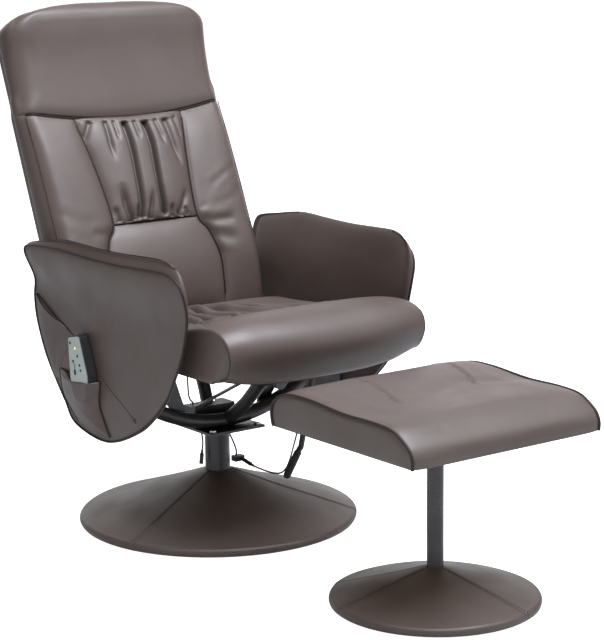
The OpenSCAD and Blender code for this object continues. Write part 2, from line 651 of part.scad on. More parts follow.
// seat: plywood board on two sliders that run in the rails, with the cushion on top
slider_low_z = rail_top_z - groove_d + slide_gap;
board_low_z = seat_bottom_z - seat_gap - board_t;
slider_top_z = board_low_z;
slider_front_y = rail_front_y + 10;
slider_rear_y = rail_rear_y - 20;
hinge_y = 160;
hinge_z = 345;
hinge_pin_r = 5;
hinge_ear_r = 13;
hinge_x = 168;
ear_lift_share = 0.8;
module on_hinge_axis(x) translate([x, hinge_y, hinge_z]) rotate([0, 90, 0]) children();
module seat_sliders() color(black_steel) both_sides() {
  block([(rail_gap - groove_w) / 2 + slide_gap, slider_front_y, slider_low_z],
    [(rail_gap + groove_w) / 2 - slide_gap, slider_rear_y, rail_top_z + slide_gap]);
  block([(rail_gap - rail_w) / 2, slider_front_y, rail_top_z + slide_gap],
    [(rail_gap + rail_w) / 2, slider_rear_y, slider_top_z]);
}
board_side = 12;
board_setback = 80;
board_front_y = seat_front_y + board_setback;
seat_motor_y = -150;
seat_motor_x = 145;
motor_below = 8;
motor_rim = 4;
motor_h = board_t + motor_below;
module seat_motor_places() for (i = [-1, 1])
  translate([i * seat_motor_x, seat_motor_y, board_low_z]) children();
board_half = seat_w / 2 - board_side;
module seat_board() color(ply) difference() {
  translate([0, 0, board_low_z]) linear_extrude(board_t)
    polygon(concat([[board_half, seat_rear_y], [-board_half, seat_rear_y]],
      [for (u = [-1:0.25:1]) [u * board_half, board_front_y + seat_arch * u * u]]));
  seat_motor_places() translate([0, 0, -over]) cylinder(r = motor_r + seat_gap, h = board_t + 2 * over);
}
module seat_motors() color("silver") seat_motor_places() {
  translate([0, 0, board_t - motor_h]) cylinder(r = motor_r, h = motor_h);
  translate([0, 0, board_t - motor_h]) cylinder(r = motor_r + motor_rim, h = motor_below);
}
module hinge_ears() color(black_steel) both_sides() difference() {
  union() {
    block([hinge_x, slider_rear_y - 2 * hinge_ear_r, board_low_z - bracket_t],
      [hinge_x + 2 * bracket_t, seat_rear_y, board_low_z]);
    translate([hinge_x, 0, 0]) rotate([90, 0, 90]) linear_extrude(bracket_t)
      polygon([[slider_rear_y - hinge_ear_r, board_low_z], [seat_rear_y, board_low_z],
        [hinge_y + hinge_ear_r / 2, hinge_z + ear_lift_share * hinge_ear_r],
        [hinge_y, hinge_z - hinge_ear_r], [slider_rear_y + hinge_ear_r, hinge_z]]);
    on_hinge_axis(hinge_x) cylinder(r = hinge_ear_r, h = bracket_t);
  }
  on_hinge_axis(hinge_x - over) cylinder(r = hinge_pin_r, h = bracket_t + 2 * over);
}
pin_head_r = 8;
pin_head_h = 4;
module hinge_pins() color("silver") both_sides() {
  on_hinge_axis(hinge_x - bracket_t - over) cylinder(r = hinge_pin_r, h = 2 * bracket_t + over);
  on_hinge_axis(hinge_x + bracket_t) cylinder(r = pin_head_r, h = pin_head_h);
}

seat_depth = seat_rear_y - seat_front_y;
seat_rise = seat_top_front - seat_lip_z;
// shares of the seat's depth from its rear and of the roll's height over its lip
seat_top_share = [[0, 0.38], [0.03, 0.48], [0.2, 0.53], [0.42, 0.63], [0.615, 0.81], [0.785, 0.99],
  [0.89, 0.985], [0.964, 0.83], [1, 0.585], [0.996, 0.335], [0.964, 0.1], [0.93, 0]];
seat_low_share = [[0, 0], [0.03, 0], [0.2, 0], [0.42, 0], [0.615, 0], [0.785, 0], [0.84, 0],
  [0.862, 0], [0.875, 0.2], [0.882, 0.6], [0.89, 0.85], [0.90, 1]];
seat_rows = 34;
seat_cols = 12;
seat_edge_drop = 0.1;
seat_arch = 27;         // how far the front roll falls back at its ends
seat_lip_rise = 16;     // how far the roll's lip rises at its ends
seat_skirt = 11;        // how far the side panels hang below the board's top
seat_skirt_t = 7;
seat_drawn_in = 4;
groove_depth = 8;
groove_span = 13;
seam_middle_y = -97;
seam_arch = 76;         // how far the seam comes forward at a third of the seat's width
function seam_y(x) = seam_middle_y - seam_arch * pow(x / (seat_w * 0.3), 2);
function seat_top(t) = let (p = at(seat_top_share, t))
  [seat_rear_y - p[0] * seat_depth, seat_lip_z + p[1] * seat_rise];
function seat_low(t) = let (p = at(seat_low_share, t))
  [seat_rear_y - p[0] * seat_depth, mix(seat_bottom_z, seat_lip_z, p[1])];
seat_front_in = 8;      // how much narrower each side is at the roll
seat_rear_in = 3;
function seat_width(t) = seat_w / 2 - seat_front_in * smooth((t - 0.6) * 2.5)
  - seat_rear_in * (1 - smooth(t * 8));
function seat_back(t, u) = seat_arch * u * u * smooth((t - 0.45) * 2.2);
function seat_lift(t, u) = seat_lip_rise * pow(u, 4) * smooth((t - 0.8) * 6);
function seat_ring(t) = let (a = seat_top(t), b = seat_low(t), w = seat_width(t), in = w - seat_skirt_t,
  arch = seat_back(t, 1), lift = seat_lift(t, 1), m = mix(a, b, 0.55) + [arch, lift],
  edge = min(b[1], seat_bottom_z - seat_skirt * smooth(t * 14)) + lift)
  concat(
    [for (i = [seat_cols:-1:0])
      let (u = 2 * i / seat_cols - 1, p = mix(a, b, seat_edge_drop * pow(abs(u), 4)),
        g = groove_depth * exp(-pow((p[0] - seam_y(u * w)) / groove_span, 2)) * (1 - pow(abs(u), 4)))
      [u * w, p[0] + seat_back(t, u), p[1] - g + seat_lift(t, u) * (1 - smooth(2 - 2 * t))]],
    [[seat_drawn_in - w, m[0], m[1]], [-w, b[0] + arch, edge], [-in, b[0] + arch, edge]],
    [for (i = [0:4:seat_cols]) let (u = 2 * i / seat_cols - 1)
      [u * in, b[0] + seat_back(t, u), b[1] + seat_lift(t, u)]],
    [[in, b[0] + arch, edge], [w, b[0] + arch, edge], [w - seat_drawn_in, m[0], m[1]]]);
module seat_cushion() color(leather) loft([for (i = [0:seat_rows]) seat_ring(i / seat_rows)]);

// backrest, modelled upright in its own frame: x across, y behind the front face, z up its length
back_y = 141;
back_z = 420;
back_low = -20;
module back_frame() translate([0, back_y, back_z]) rotate([-back_tilt, 0, 0]) children();
// shares of the back's length and of the foam's thickness: how the front face curves
back_face_share = [[-0.04, 0.25], [0.05, 0.02], [0.14, -0.13], [0.25, -0.13], [0.4, -0.08], [0.53, 0],
  [0.62, 0.1], [0.7, 0.13], [0.77, 0.07], [0.84, -0.06], [0.91, -0.28], [0.97, -0.44], [1.01, -0.2]];
function back_face(s) = foam_t * lookup(s / back_len, back_face_share);
corner_s = 72;
function back_half(s) = mix(back_w, head_w, smooth((s - head_seam_s) / side_roll)) / 2
  * pow(max(0.02, 1 - pow(max(0, (s - back_len + corner_s) / corner_s), 2.6)), 1 / 2.6);
// half width of the centre panels at each length of the back
centre_share = [[-0.04, 0.54], [0.05, 0.56], [0.14, 0.56], [0.22, 0.5], [0.277, 0.42], [0.45, 0.46],
  [0.64, 0.55]];
function centre_half(s) = back_w / 2 * lookup(s / back_len, centre_share);
head_seam_dip = 29;     // how far the head seam hangs down in its middle
function head_seam(x) = head_seam_s - head_seam_dip * (1 - pow(min(1, abs(x) / (back_w / 2)), 2));
side_roll = 30;
side_drop = 22;
function side_fall(x, s) = side_drop * pow(max(0, (abs(x) - back_half(s) + side_roll) / side_roll), 2);
pad_crown = 11;
seam_depth = 5;
function crown(a, b) = pad_crown * (1 - pow(abs(2 * a - 1), 3)) * (1 - pow(abs(2 * b - 1), 4)) - seam_depth;
function pad_ring(xa, xb, sa, sb, b, cols) = concat(
  [for (i = [0:cols]) let (a = i / cols, x = mix(xa, xb, a), s = mix(sa(x), sb(x), b))
    [x, back_face(s) + side_fall(x, s) - crown(a, b), s]],
  [for (i = [3:-1:0]) let (x = mix(xa, xb, i / 3), s = mix(sa(x), sb(x), b)) [x, foam_t, s]]);
function low_line(x) = back_low;
function lumbar_line(x) = lumbar_seam_s;
function top_line(x) = back_len;
panel_gap = 0.15;
module pad(sa, sb, xa, xb, rows, cols) back_frame() loft([for (j = [0:rows])
  let (b = j / rows, s = mix(sa(0), sb(0), b)) pad_ring(xa(s), xb(s), sa, sb, b, cols)]);
module lumbar_pad() color(leather) pad(function(x) low_line(x), function(x) lumbar_line(x) - panel_gap,
  function(s) panel_gap - centre_half(s), function(s) centre_half(s) - panel_gap, 10, 14);
module gathered_panel() color(leather)
  pad(function(x) lumbar_line(x) + panel_gap, function(x) head_seam(x) - 2 * panel_gap,
    function(s) panel_gap - centre_half(s), function(s) centre_half(s) - panel_gap, 14, 20);
module bolster_right() color(leather) pad(function(x) low_line(x), function(x) head_seam(x) - panel_gap,
  function(s) -back_half(s), function(s) -centre_half(s) - panel_gap, 26, 10);
module bolster_left() color(leather) pad(function(x) low_line(x), function(x) head_seam(x) - panel_gap,
  function(s) centre_half(s) + panel_gap, function(s) back_half(s), 26, 10);
module head_cushion() color(leather) pad(function(x) head_seam(x) + panel_gap, function(x) top_line(x),
  function(s) -back_half(s), function(s) back_half(s), 18, 22);

board_side_back = 16;
back_board_top = back_len - corner_s;
back_board_t = 9;
back_motor_share = [[0.22, 0.16], [0.2, 0.48]];
board_front = foam_t + seat_gap;
board_half_back = back_w / 2 - board_side_back;
module back_motor_places() for (p = back_motor_share, i = [-1, 1])
  translate([i * p[0] * back_w, board_front, p[1] * back_len]) rotate([-90, 0, 0]) children();
module back_board() color(ply) back_frame() difference() {
  block([-board_half_back, board_front, back_low], [board_half_back, bar_front, back_board_top]);
  back_motor_places() translate([0, 0, -over])
    cylinder(r = motor_r + seat_gap, h = back_board_t + 2 * over);
}
module back_motors() color("silver") back_frame() back_motor_places()
  cylinder(r = motor_r, h = back_board_t);
bar_len = 230;
bar_w = 28;
bar_foot = 3;
bar_front = board_front + back_board_t;
module back_brackets() color(black_steel) both_sides() difference() {
  union() {
    back_frame() block([hinge_x - bracket_t - bar_w, bar_front, back_low - bar_foot],
      [hinge_x - seat_gap, bar_front + bracket_t, bar_len]);
    hull() {
      back_frame() block([hinge_x - bracket_t - seat_gap, board_front, back_low - bar_foot],
        [hinge_x - seat_gap, bar_front + bracket_t, back_low - seat_gap]);
      on_hinge_axis(hinge_x - bracket_t - seat_gap) cylinder(r = hinge_ear_r - over, h = bracket_t, $fn = 32);
    }
  }
  on_hinge_axis(hinge_x - 2 * bracket_t) cylinder(r = hinge_pin_r + run_gap, h = 2 * bracket_t + over);
}
rear_start = bar_front + bracket_t + seat_gap;
rear_edge_in = 8;       // how far the rear pad's edge stays inside the front pads' edge
rear_cols = 14;
rear_step = 4;          // how far over the board's top the pad reaches forward
function rear_ring(s) = let (w = back_half(s) - rear_edge_in, e = smooth((back_len - s) / corner_s),
  c = rear_pad_t * (0.55 + 0.45 * e), front = s > back_board_top + rear_step ? board_front : rear_start)
  concat([for (i = [0:3]) [mix(-w, w, i / 3), front, s]], [for (i = [rear_cols:-1:0])
    let (u = 2 * i / rear_cols - 1) [u * w, rear_start + c * (1 - 0.8 * pow(abs(u), 4)), s]]);
rear_places = concat([for (j = [0:12]) mix(back_low, back_board_top + rear_step - over, j / 12)],
  [for (j = [0:8]) mix(back_board_top + rear_step + over, back_len, j / 8)]);
module rear_pad() color(leather) back_frame() loft([for (s = rear_places) rear_ring(s)]);

// footstool
stool_plate_r = 70;
module stool_place() translate([0, stool_y, 0]) children();
module stool_foot_ring() color("black") stool_place() foot_ring(stool_base_r);
module stool_base() color(black_steel) stool_place() {
  floor_plate(stool_base_r, stool_post_r - tube_wall);
  cone_shell(stool_post_r + cover_clear, stool_base_r - cone_inset, stool_cone_z - cover_t - cover_clear,
    foot_h + plate_t + cone_t, cone_t);
}
module stool_cover() color(leather) stool_place()
  wrap(stool_post_r + cover_clear, stool_base_r, stool_cone_z, base_rim_h);
module stool_post() color(column_grey) stool_place() translate([0, 0, foot_h + plate_t]) difference() {
  cylinder(r = stool_post_r, h = stool_post_z - foot_h - plate_t);
  translate([0, 0, -over]) cylinder(r = stool_post_r - tube_wall, h = stool_post_z);
}
module stool_spindle() color("silver") stool_place() {
  translate([0, 0, stool_post_z - bush_len])
    cylinder(r = stool_post_r - tube_wall - run_gap, h = bush_len + slide_gap);
  translate([0, 0, stool_post_z + slide_gap]) cylinder(r = stool_plate_r, h = bracket_t);
}
// shares of the stool's depth from its middle and of its cushion's height
stool_line_share = [[0.5, 0], [0.512, 0.34], [0.48, 0.70], [0.38, 0.91], [0.215, 0.94], [-0.01, 0.85],
  [-0.235, 0.86], [-0.37, 0.79], [-0.455, 0.52], [-0.49, 0.25], [-0.49, 0]];
// the board lies in the cushion's hollow underside, inside its skirt
stool_board_low = stool_post_z + slide_gap + bracket_t;
stool_board_top = stool_board_low + board_t;
stool_skirt = 12;
stool_board_front = stool_line_share[len(stool_line_share) - 1][0] * stool_d + stool_skirt + seat_gap;
stool_board_rear = stool_line_share[0][0] * stool_d - stool_skirt - seat_gap;
module stool_board() color(ply) stool_place()
  block([stool_skirt + seat_gap - stool_w / 2, stool_board_front, stool_board_low],
    [stool_w / 2 - stool_skirt - seat_gap, stool_board_rear, stool_board_top]);
stool_end_share = 1 - 2 * stool_skirt / stool_w;
stool_x_share = [-1, -0.985, -stool_end_share - 0.004, -stool_end_share, -0.8, -0.5, 0, 0.5, 0.8,
  stool_end_share, stool_end_share + 0.004, 0.985, 1];
function stool_hollow(u) = abs(u) > stool_end_share + 0.001 ? 0 : stool_board_top + seat_gap - stool_bottom_z;
function stool_ring(u) = let (k = 1 - 0.03 * pow(abs(u), 12), line = open_curve(stool_line_share, 3),
  front = stool_board_front - seat_gap, rear = stool_board_rear + seat_gap,
  low = stool_bottom_z, top = low + stool_hollow(u))
  concat([for (p = line)
      [u * stool_w / 2, p[0] * stool_d * k, low + p[1] * stool_cushion_h * k * (1.02 - 0.04 * pow(u, 4))]],
    [for (p = [[front - seat_gap, low], [front, top], [rear, top], [rear + seat_gap, low]])
      [u * stool_w / 2, p[0], p[1]]]);
module stool_cushion() color(leather) stool_place() loft([for (u = stool_x_share) stool_ring(u)]);

base_foot_ring();
base_plate();
base_cone();
base_cover();
column();
column_bush();
swivel_spindle();
swivel_plate();
arm_crossbar();
seat_spars();
rail_ties();
slide_rails();
arm_brackets();
frame_bolts();
control_box();
lever_bracket();
lever_pin();
arm_left();
arm_right();
magazine_pocket();
handset_pocket();
seat_lead();
power_lead();
power_socket();
motor_lead();
lead_splitter();
link_plug();
link_lead();
recline_lever();
lever_grip();
seat_sliders();
seat_board();
seat_cushion();
seat_motors();
hinge_ears();
hinge_pins();
back_brackets();
back_board();
back_motors();
head_cushion();
bolster_left();
bolster_right();
gathered_panel();
lumbar_pad();
rear_pad();
handset_body();
handset_face();
button_1();
button_2();
button_3();
button_4();
button_5();
intensity_slider();
stool_foot_ring();
stool_base();
stool_cover();
stool_post();
stool_spindle();
stool_board();
stool_cushion();
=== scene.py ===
import math

import bmesh
import bpy
import numpy as np
from mathutils import Matrix, Vector


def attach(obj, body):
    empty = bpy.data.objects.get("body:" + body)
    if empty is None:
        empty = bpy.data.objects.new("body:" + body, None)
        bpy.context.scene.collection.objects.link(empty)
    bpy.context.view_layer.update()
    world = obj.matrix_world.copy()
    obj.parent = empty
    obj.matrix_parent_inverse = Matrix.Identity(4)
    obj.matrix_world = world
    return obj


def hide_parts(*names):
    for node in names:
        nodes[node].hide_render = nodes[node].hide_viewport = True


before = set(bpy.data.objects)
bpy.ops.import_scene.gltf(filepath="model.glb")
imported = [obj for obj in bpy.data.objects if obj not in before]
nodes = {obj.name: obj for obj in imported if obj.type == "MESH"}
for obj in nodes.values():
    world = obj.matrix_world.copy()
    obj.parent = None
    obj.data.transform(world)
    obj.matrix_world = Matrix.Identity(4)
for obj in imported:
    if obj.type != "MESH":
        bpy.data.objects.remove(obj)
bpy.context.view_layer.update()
scene = bpy.context.scene
MM = 0.001  # shapes below are worked out in millimetres, as in the part's source


# ---- curves and meshes ----
def smooth(t):
    c = np.clip(t, 0, 1)
    return c * c * (3 - 2 * c)


def mix(a, b, t):
    return a + (b - a) * t


def curve(points, steps, closed=False):
    """A smooth line through the points, in short steps."""
    p = np.array(points, float)
    m = len(p)
    rows = []
    for i in range(m if closed else m - 1):
        a, b, c, d = (
            p[(i + k) % m] if closed else p[min(max(i + k, 0), m - 1)] for k in (-1, 0, 1, 2)
        )
        for t in np.arange(steps) / steps:
            rows.append(
                0.5 * (2 * b + (c - a) * t + (2 * a - 5 * b + 4 * c - d) * t * t
                       + (3 * b - a - 3 * c + d) * t**3)
            )
    return np.array(rows if closed else rows + [p[-1]])


def line_run(points):
    """How far along the line each of its points is."""
    steps = np.linalg.norm(np.diff(np.asarray(points, float), axis=0), axis=1)
    return np.concatenate([[0], np.cumsum(steps)])


def at(points, run, want):
    """The line's places at the wanted values, where run is its points' own values."""
    p = np.asarray(points, float)
    return np.stack([np.interp(want, run, p[:, k]) for k in range(p.shape[1])], -1)


def evenly(points, count):
    """The same line with its points evenly spaced."""
    run = line_run(points)
    return at(points, run, np.linspace(0, run[-1], count))


def at_share(line, share):
    return at(line, np.linspace(0, 1, len(line)), share)


def far_from(x, y, path):
    """Distance of each point (x, y) from a drawn line, and where along it, from 0 to 1."""
    path = np.asarray(path, float)
    best = np.full(np.shape(x), 1e9)
    where = np.zeros(np.shape(x))
    last = len(path) - 1
    for i in range(last):
        a, d = path[i], path[i + 1] - path[i]
        t = np.clip(((x - a[0]) * d[0] + (y - a[1]) * d[1]) / (d @ d), 0, 1)
        r = np.hypot(x - a[0] - t * d[0], y - a[1] - t * d[1])
        nearer = r < best
        best = np.where(nearer, r, best)
        where = np.where(nearer, (i + t) / last, where)
    return best, where


def crease(x, y, path, depth, width, fade_start=0.15, fade_end=0.25, ridge=0.35):
    """How deep a fold along the line is at each point, with a soft ridge beside it."""
    r, t = far_from(x, y, path)
    fade = smooth(t / max(fade_start, 1e-3)) * smooth((1 - t) / max(fade_end, 1e-3))
    away = np.exp(-((r / width) ** 2)) - ridge * np.exp(-(((r - 2.1 * width) / width) ** 2))
    return depth * fade * away


def grid_faces(rows, cols, around=False):
    faces = []
    for i in range(rows - 1):
        for j in range(cols if around else cols - 1):
            k = (j + 1) % cols
            faces.append((i * cols + j, i * cols + k, (i + 1) * cols + k, (i + 1) * cols + j))
    return faces


def solid(rings):
    """A stack of rings, closed with a point in the middle of each end."""
    r = np.array(rings, float)
    rows, n = r.shape[:2]
    points = np.vstack([r.reshape(-1, 3), r[0].mean(0), r[-1].mean(0)])
    faces = grid_faces(rows, n, True)
    faces += [(rows * n, (j + 1) % n, j) for j in range(n)]
    faces += [(rows * n + 1, (rows - 1) * n + j, (rows - 1) * n + (j + 1) % n) for j in range(n)]
    return points, faces


def hoop(rings):
    """A stack of rings whose last joins the first."""
    r = np.array(rings, float)
    rows, n = r.shape[:2]
    last = (rows - 1) * n
    faces = grid_faces(rows, n, True)
    faces += [(last + j, last + (j + 1) % n, (j + 1) % n, j) for j in range(n)]
    return r.reshape(-1, 3), faces


def joined(parts):
    points, faces, start = [], [], 0
    for p, f in parts:
        points.append(np.asarray(p, float))
        faces += [tuple(i + start for i in face) for face in f]
        start += len(p)
    return np.vstack(points), faces


def tube(path, radius, up, sides=8, closed=False):
    """A round cord along the line; up is any direction that the line never runs along."""
    p = np.asarray(path, float)
    t = np.roll(p, -1, 0) - np.roll(p, 1, 0) if closed else np.gradient(p, axis=0)
    t /= np.linalg.norm(t, axis=1)[:, None]
    a = np.cross(t, up)
    a /= np.linalg.norm(a, axis=1)[:, None]
    b = np.cross(t, a)
    turn = np.linspace(0, 2 * math.pi, sides, endpoint=False)
    r = np.broadcast_to(np.asarray(radius, float), len(p))[:, None, None]
    rings = p[:, None] + r * (
        np.cos(turn)[None, :, None] * a[:, None] + np.sin(turn)[None, :, None] * b[:, None]
    )
    return hoop(rings) if closed else solid(rings)


STITCH_LENGTH, STITCH_GAP, THREAD_R = 3.6, 2.0, 0.42


def stitches(path, up):
    """A row of short threads along the line."""
    run = line_run(path)
    parts = []
    for start in np.arange(STITCH_GAP, run[-1] - STITCH_LENGTH, STITCH_LENGTH + STITCH_GAP):
        q = at(path, run, start + STITCH_LENGTH * np.array([0, 0.15, 0.85, 1]))
        parts.append(tube(q, THREAD_R * np.array([0.3, 1, 1, 0.3]), up, 5))
    return joined(parts)


def add_object(name, data):
    obj = bpy.data.objects.new(name, data)
    scene.collection.objects.link(obj)
    return obj


def piece(name, shape, material, body, stands_for=()):
    points, faces = shape
    mesh = bpy.data.meshes.new(name)
    mesh.from_pydata((np.asarray(points, float) * MM).tolist(), [], faces)
    work = bmesh.new()
    work.from_mesh(mesh)
    bmesh.ops.recalc_face_normals(work, faces=work.faces)
    work.to_mesh(mesh)
    work.free()
    mesh.polygons.foreach_set("use_smooth", [True] * len(mesh.polygons))
    mesh.materials.append(material)
    mesh.update()
    obj = add_object(name, mesh)
    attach(obj, body)
    if stands_for:
        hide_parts(*stands_for)
    return obj


# ---- materials ----
def set_inputs(tree, node, inputs):
    """Each input gets a link where the value is a socket, and else the value itself."""
    for key, value in inputs.items():
        if isinstance(value, bpy.types.NodeSocket):
            tree.links.new(value, node.inputs[key])
        else:
            node.inputs[key].default_value = value


def add_node(tree, kind, inputs={}, **settings):
    node = tree.nodes.new(kind)
    for key, value in settings.items():
        setattr(node, key, value)
    set_inputs(tree, node, inputs)
    return node


def new_material(name):
    """A new material with its tree, its shader and the coordinates that its textures use."""
    material = bpy.data.materials.new(name)
    material.use_nodes = True
    tree = material.node_tree
    where = add_node(tree, "ShaderNodeTexCoord").outputs["Object"]
    return material, tree, tree.nodes["Principled BSDF"], where


def noise(tree, where, scale, detail=3.0, roughness=0.5):
    node = add_node(tree, "ShaderNodeTexNoise",
                    {"Vector": where, "Scale": scale, "Detail": detail, "Roughness": roughness})
    return node.outputs["Fac"]


def stretch(tree, where, scale):
    return add_node(tree, "ShaderNodeMapping", {"Vector": where, "Scale": scale}).outputs["Vector"]


def ramp(tree, value, stops):
    node = add_node(tree, "ShaderNodeValToRGB", {"Fac": value})
    while len(node.color_ramp.elements) < len(stops):
        node.color_ramp.elements.new(0.5)
    for element, (position, colour) in zip(node.color_ramp.elements, stops):
        element.position = position
        element.color = (*colour, 1)
    return node.outputs["Color"]


def spread(tree, value, low, high, first=0.3, last=0.7):
    """The values from first to last, spread from low to high."""
    node = add_node(tree, "ShaderNodeMapRange", {"Value": value, "From Min": first, "From Max": last,
                                                 "To Min": low, "To Max": high})
    return node.outputs["Result"]


def bump(tree, height, strength, distance, **below):
    node = add_node(tree, "ShaderNodeBump",
                    {"Height": height, "Strength": strength, "Distance": distance, **below})
    return node.outputs["Normal"]


FOLD_SHADE_REACH = 0.045        # how far a fold's painted shade still darkens the leather, in metres
FOLD_OPEN = (0.25, 0.95)  # from a closed fold to an open face
FOLD_SHADE_TONE = (0.22, 1.0)   # the share of the colour left under the painted shade at those two


def leather_material(name, light, dark, roughness, grain, specular=0.5):
    """Grained leather, with shade painted into its folds and hollows."""
    material, tree, shader, where = new_material(name)
    colour = ramp(tree, noise(tree, where, 5.0, 4.0), [(0.3, dark), (0.7, light)])
    # painted shade: an ambient occlusion node darkens the colour in the leather's own folds and hollows
    folds = add_node(tree, "ShaderNodeAmbientOcclusion", {"Distance": FOLD_SHADE_REACH},
                     samples=8, only_local=True)
    fold_shade = spread(tree, folds.outputs["AO"], *FOLD_SHADE_TONE, *FOLD_OPEN)
    shaded = add_node(tree, "ShaderNodeVectorMath", {"Vector": colour, "Scale": fold_shade},
                      operation="SCALE")
    cells = add_node(tree, "ShaderNodeTexVoronoi", {"Vector": where, "Scale": 620.0},
                     feature="SMOOTH_F1")
    pebbles = bump(tree, cells.outputs["Distance"], grain, 0.0006)
    set_inputs(tree, shader, {
        "Base Color": shaded.outputs["Vector"],
        "Roughness": spread(tree, noise(tree, where, 14.0, 4.0), roughness - 0.05, roughness + 0.06),
        "Normal": bump(tree, noise(tree, where, 42.0), 0.10, 0.004, Normal=pebbles),
        "Specular IOR Level": specular})
    return material


def painted(name, colour, roughness, metallic=0.0, texture=380.0, strength=0.08, vary=0.12):
    """Paint, plastic or plated metal with a fine surface of its own."""
    material, tree, shader, where = new_material(name)
    darker = tuple(c * (1 - vary) for c in colour)
    set_inputs(tree, shader, {
        "Base Color": ramp(tree, noise(tree, where, 18.0), [(0.35, darker), (0.65, colour)]),
        "Roughness": spread(tree, noise(tree, where, 30.0, 5.0), roughness - 0.06, roughness + 0.08),
        "Normal": bump(tree, noise(tree, where, texture, 2.0), strength, 0.0004),
        "Metallic": metallic})
    return material


def wood_material(name):
    material, tree, shader, where = new_material(name)
    grain = noise(tree, stretch(tree, where, (30, 4, 60)), 3.0, 6.0, 0.6)
    colours = [(0.3, (0.33, 0.21, 0.11)), (0.55, (0.52, 0.36, 0.20)), (0.75, (0.60, 0.44, 0.27))]
    set_inputs(tree, shader, {"Base Color": ramp(tree, grain, colours), "Roughness": 0.62,
                              "Normal": bump(tree, grain, 0.2, 0.001)})
    return material


def brushed(name, colour, roughness):
    material, tree, shader, where = new_material(name)
    lines = noise(tree, stretch(tree, where, (40, 40, 900)), 1.0)
    darker = tuple(c * 0.8 for c in colour)
    set_inputs(tree, shader, {"Base Color": ramp(tree, lines, [(0.3, darker), (0.7, colour)]),
                              "Roughness": spread(tree, lines, roughness - 0.08, roughness + 0.1),
                              "Metallic": 1.0})
    return material


leather = leather_material("leather", (0.070, 0.051, 0.044), (0.056, 0.040, 0.034), 0.50, 0.12)
# very dark leather for piping and seam cords; where the cords fill the backrest's seam gaps, their
# darkness is painted shade
piping_leather = leather_material("piping_leather", (0.022, 0.015, 0.013), (0.016, 0.011, 0.010),
                                  0.55, 0.08, 0.25)
black_steel = painted("black_steel", (0.017, 0.017, 0.018), 0.36)
column_grey = painted("column_grey", (0.034, 0.030, 0.033), 0.30, 0.3)
bare_steel = brushed("bare_steel", (0.56, 0.56, 0.55), 0.32)
motor_can = brushed("motor_can", (0.42, 0.42, 0.41), 0.42)
plywood = wood_material("plywood")
black_plastic = painted("black_plastic", (0.020, 0.020, 0.021), 0.46, 0.0, 900.0, 0.12)
face_foil = painted("face_foil", (0.30, 0.36, 0.33), 0.34, 0.1, 1200.0, 0.05, 0.08)
bush_plastic = painted("bush_plastic", (0.62, 0.60, 0.52), 0.5)
black_rubber = painted("black_rubber", (0.022, 0.021, 0.021), 0.78, 0.0, 600.0, 0.2)
thread = painted("thread", (0.030, 0.023, 0.021), 0.7, 0.0, 3000.0, 0.3)
lamp_yellow = painted("lamp_yellow", (0.80, 0.72, 0.12), 0.25)
set_inputs(lamp_yellow.node_tree, lamp_yellow.node_tree.nodes["Principled BSDF"],
           {"Emission Color": (1.0, 0.85, 0.2, 1), "Emission Strength": 0.6})


def skin(node, shape, body):
    """The leather over a node, which takes the node's place."""
    obj = piece(node + "_skin", shape, leather, body, [node])
    return obj


def trims(name, parts, body):
    """Piping and seam cords as one piece."""
    piece(name, joined(parts), piping_leather, body)


def stitching(name, rows, body):
    piece(name, joined(rows), thread, body)


FINISHES = [
    (black_steel, ["base_plate", "base_cone", "swivel_plate", "arm_crossbar", "seat_spars", "rail_ties",
                   "slide_rails", "arm_brackets", "lever_bracket", "recline_lever", "seat_sliders",
                   "hinge_ears", "back_brackets", "stool_base"]),
    (column_grey, ["column", "stool_post"]),
    (bare_steel, ["swivel_spindle", "lever_pin", "hinge_pins", "frame_bolts", "stool_spindle"]),
    (motor_can, ["seat_motors", "back_motors"]),
    (plywood, ["seat_board", "back_board", "stool_board"]),
    (black_plastic, ["control_box", "handset_body", "button_1", "button_2", "button_3", "button_4",
                     "button_5", "intensity_slider", "power_socket", "lead_splitter", "link_plug"]),
    (face_foil, ["handset_face"]),
    (bush_plastic, ["column_bush"]),
    (black_rubber, ["base_foot_ring", "stool_foot_ring", "lever_grip"]),
]
for material, names in FINISHES:
    for name in names:
        nodes[name].data.materials.clear()
        nodes[name].data.materials.append(material)


# ---- camera, floor and light ----
CAMERA_AT = (-2.308, -3.386, 1.229)
CAMERA_AZ, CAMERA_EL, CAMERA_ROLL = (math.radians(a) for a in (-36.70, 11.38, 0.60))
CAMERA_LENS = 118.07


def make_camera():
    data = bpy.data.cameras.new("camera")
    data.lens, data.sensor_width, data.clip_end = CAMERA_LENS, 36.0, 100.0
    camera = add_object("camera", data)
    cos, sin, level = math.cos(CAMERA_AZ), math.sin(CAMERA_AZ), math.cos(CAMERA_EL)
    forward = Vector((-sin * level, cos * level, -math.sin(CAMERA_EL)))
    right = Vector((cos, sin, 0))
    up = right.cross(forward)
    turned_up = up * math.cos(CAMERA_ROLL) + right * math.sin(CAMERA_ROLL)
    turned_right = right * math.cos(CAMERA_ROLL) - up * math.sin(CAMERA_ROLL)
    turn = Matrix((turned_right, turned_up, -forward)).transposed().to_4x4()
    camera.matrix_world = Matrix.Translation(CAMERA_AT) @ turn
    scene.camera = camera


make_camera()


CHAIR_MIDDLE = (0, -0.2, 0.45)


def area_light(name, place, size, watts, colour):
    """A soft box aimed at the chair, which lights and is mirrored but isn't seen itself."""
    data = bpy.data.lights.new(name, "AREA")
    data.shape = "RECTANGLE"
    data.size, data.size_y = size
    data.energy = watts
    data.color = colour
    light = add_object(name, data)
    light.visible_camera = False
    light.location = place
    light.rotation_euler = (Vector(CHAIR_MIDDLE) - Vector(place)).to_track_quat("-Z", "Y").to_euler()


